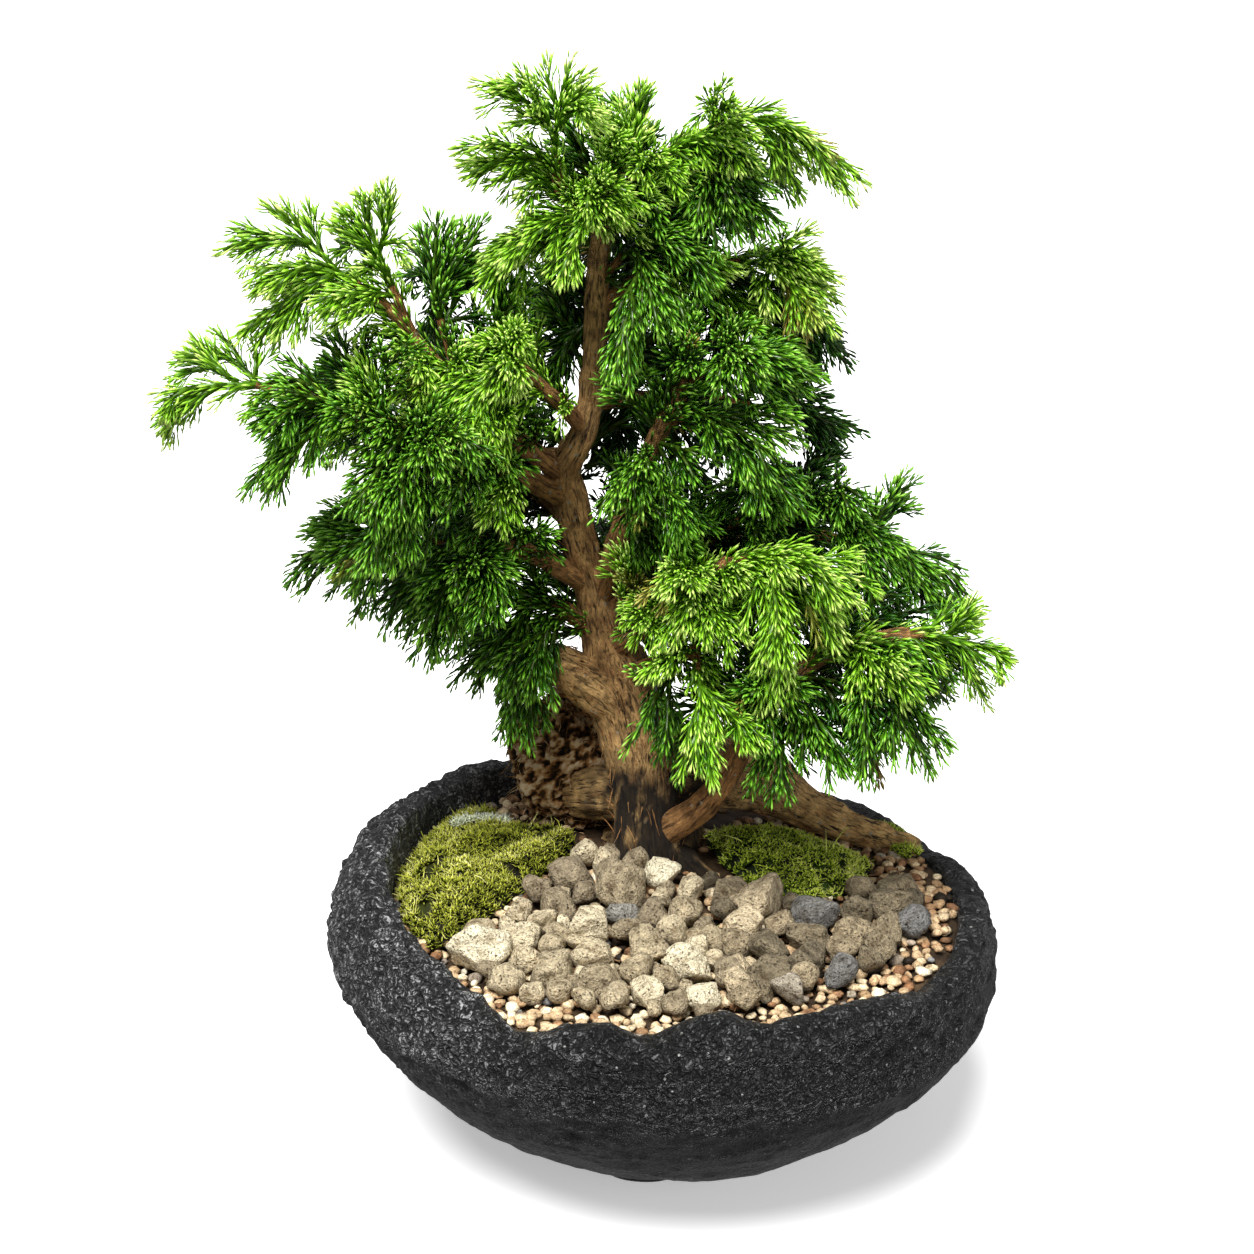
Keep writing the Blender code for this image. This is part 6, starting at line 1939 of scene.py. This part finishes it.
MOSS_BED_LEFT = ((-88, 24), (-88, 0), (-84, -22), (-74, -36), (-63, -26), (-50, -8), (-38, 8),
                 (-30, 22), (-31, 34), (-44, 36), (-56, 46), (-60, 62), (-72, 56))
MOSS_BED_RIGHT = ((14, 30), (20, 12), (28, 0), (42, -7), (57, -3), (68, 8), (71, 22), (56, 34), (34, 42))
PALE_BED = StoneBed(
    "pale_pumice", "pale_stones", "cream_pumice", PALE_PUMICE,
    ((-70, -44), (-56, -60), (-36, -72), (-12, -79), (14, -79), (20, -62), (17, -36), (11, -12), (0, 2),
     (-18, 14), (-32, 8), (-46, -12), (-60, -32)),
    ((-60, -45, 8.5, 0.95), (-48, -36, 6.5, 0.8), (-13, -13, 9.0, 0.42), (-23, -32, 7.0, 0.82),
     (-1, -1, 6.0, 1.0), (7, -24, 6.5, 0.5), (12, -71, 5.5, 0.95), (-36, -56, 6.5, 0.62),
     (-6, -70, 5.5, 0.8), (-20, -64, 6.0, 0.45), (-30, -3, 6.5, 0.3), (-35, -20, 6.0, 0.35),
     (-22, -48, 6.5, 0.75), (-6, -44, 7.0, 0.55), (8, -55, 7.0, 0.9)),
    (0.3, 0.85), 190)
GREY_BED = StoneBed(
    "grey_pumice", "grey_stones", "grey_pumice", GREY_PUMICE,
    ((22, -77), (44, -68), (64, -52), (80, -26), (86, -2), (78, 6), (70, 0), (60, -10), (42, -14), (26, -8),
     (15, -2), (20, -30), (23, -58)),
    ((31, -17, 8.0, 0.75), (25, -30, 6.5, 0.85), (33, -58, 6.5, 0.3), (50, -21, 7.0, 0.3),
     (46, -50, 6.5, 0.25), (78, 0, 6.0, 0.45), (75, -14, 7.0, 0.35), (63, -18, 6.0, 0.3),
     (60, -34, 7.5, 0.5), (46, -36, 6.5, 0.35), (34, -43, 7.0, 0.3), (72, -30, 6.0, 0.4),
     (21, -11, 5.5, 0.4)),
    (0.15, 0.9), 165)


@dataclass
class Stage:
    """Floor, light and camera."""
    lens: float = 85.0
    distance: float = 0.95
    elevation: float = 22.0
    aim: Point = (-0.012, 0.0, 0.176)

    def build(self, shift: Array) -> None:
        """Set the stage round the bowl's axis."""
        self.floor()
        self.sun(6.0, 32.0, (0.20, 0.45, -1.0))
        self.light("fill", (1.3, -1.5, 0.9), 0.8, 9.0, shift)
        world = bpy.data.worlds.new("studio")
        world.use_nodes = True
        world.node_tree.nodes["Background"].inputs["Color"].default_value = (1.0, 1.0, 1.0, 1.0)
        world.node_tree.nodes["Background"].inputs["Strength"].default_value = 0.29
        scene = bpy.context.scene
        scene.world = world
        scene.view_settings.view_transform = "Standard"
        scene.view_settings.look = "None"
        camera = bpy.data.objects.new("camera", bpy.data.cameras.new("camera"))
        camera.data.lens = self.lens
        camera.data.sensor_width = 36.0
        tilt = np.radians(self.elevation)
        back = np.array([0, -np.cos(tilt), np.sin(tilt)]) * self.distance
        camera.location = np.array(self.aim) + back + shift
        camera.rotation_euler = (np.pi / 2 - tilt, 0, 0)
        scene.collection.objects.link(camera)
        scene.camera = camera

    @staticmethod
    def floor() -> None:
        """A wide, pale, level floor."""
        mesh = bpy.data.meshes.new("floor")
        corners = [(-9, -9, 0), (9, -9, 0), (9, 9, 0), (-9, 9, 0)]
        mesh.from_pydata(corners, [], [(0, 1, 2, 3)])
        floor = bpy.data.objects.new("floor", mesh)
        material = bpy.data.materials.new("paper_floor")
        material.use_nodes = True
        shader = material.node_tree.nodes["Principled BSDF"]
        shader.inputs["Base Color"].default_value = (0.93, 0.93, 0.93, 1.0)
        shader.inputs["Roughness"].default_value = 0.9
        shader.inputs["Specular IOR Level"].default_value = 0.1
        shader.inputs["Emission Color"].default_value = (1.0, 1.0, 1.0, 1.0)
        shader.inputs["Emission Strength"].default_value = 0.40
        mesh.materials.append(material)
        bpy.context.scene.collection.objects.link(floor)
        floor.visible_diffuse = False
        floor.visible_glossy = False

    @staticmethod
    def sun(strength: float, spread: float, way: Point) -> None:
        """A broad key light along a direction, from the upper left in front."""
        lamp = bpy.data.lights.new("key", "SUN")
        lamp.energy = strength
        lamp.angle = np.radians(spread)
        item = bpy.data.objects.new("key", lamp)
        item.rotation_euler = Vector(way).to_track_quat("-Z", "Y").to_euler()
        bpy.context.scene.collection.objects.link(item)

    @staticmethod
    def light(name: str, place: Point, size: float, power: float, shift: Array) -> None:
        """A square soft light that faces the tree."""
        lamp = bpy.data.lights.new(name, "AREA")
        lamp.size = size
        lamp.energy = power
        item = bpy.data.objects.new(name, lamp)
        item.location = np.array(place) + shift
        aim = Vector((0.0, 0.0, 0.16)) - Vector(place)
        item.rotation_euler = aim.to_track_quat("-Z", "Y").to_euler()
        bpy.context.scene.collection.objects.link(item)


def main() -> None:
    """Dress the bonsai."""
    logging.basicConfig(level=logging.INFO, format="%(name)s %(message)s")
    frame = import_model()
    shop = Workshop()
    Stage().build(shop.shift)
    Bowl().build(shop)
    stones = np.vstack([PALE_BED.build(shop, np.random.default_rng(21)),
                        GREY_BED.build(shop, np.random.default_rng(22))])
    GritLayer().build(shop, stones, (MOSS_BED_LEFT, MOSS_BED_RIGHT), np.random.default_rng(23))
    cushion = Moss("moss_cushion_left", "moss_left", "moss_left", MOSS_LEFT, MOSS_BED_LEFT,
                   8.0, 2050, 2.9, 90)
    cushion.build(shop, np.random.default_rng(24))
    LichenFleck(cushion).build(shop, np.random.default_rng(28))
    Moss("moss_cushion_right", "moss_right", "moss_right", MOSS_RIGHT, MOSS_BED_RIGHT, 5.0, 1150, 2.3, 20,
         ((76, 44, 9.0), (84, 33, 5.0), (13, -32, 3.2))).build(shop, np.random.default_rng(25))
    PeatLump().build(shop, np.random.default_rng(26))
    foliage = Foliage()
    Tree().build(shop, foliage.twigs(), np.random.default_rng(27))
    foliage.build(shop)
    for name, finish in (("soil", SOIL), ("drain_mesh", MESH_PLASTIC)):
        shop.dress(frame["nodes"][name], finish)
    LOG.info("%d triangles in all", shop.triangles)


if __name__ == "__main__":
    main()
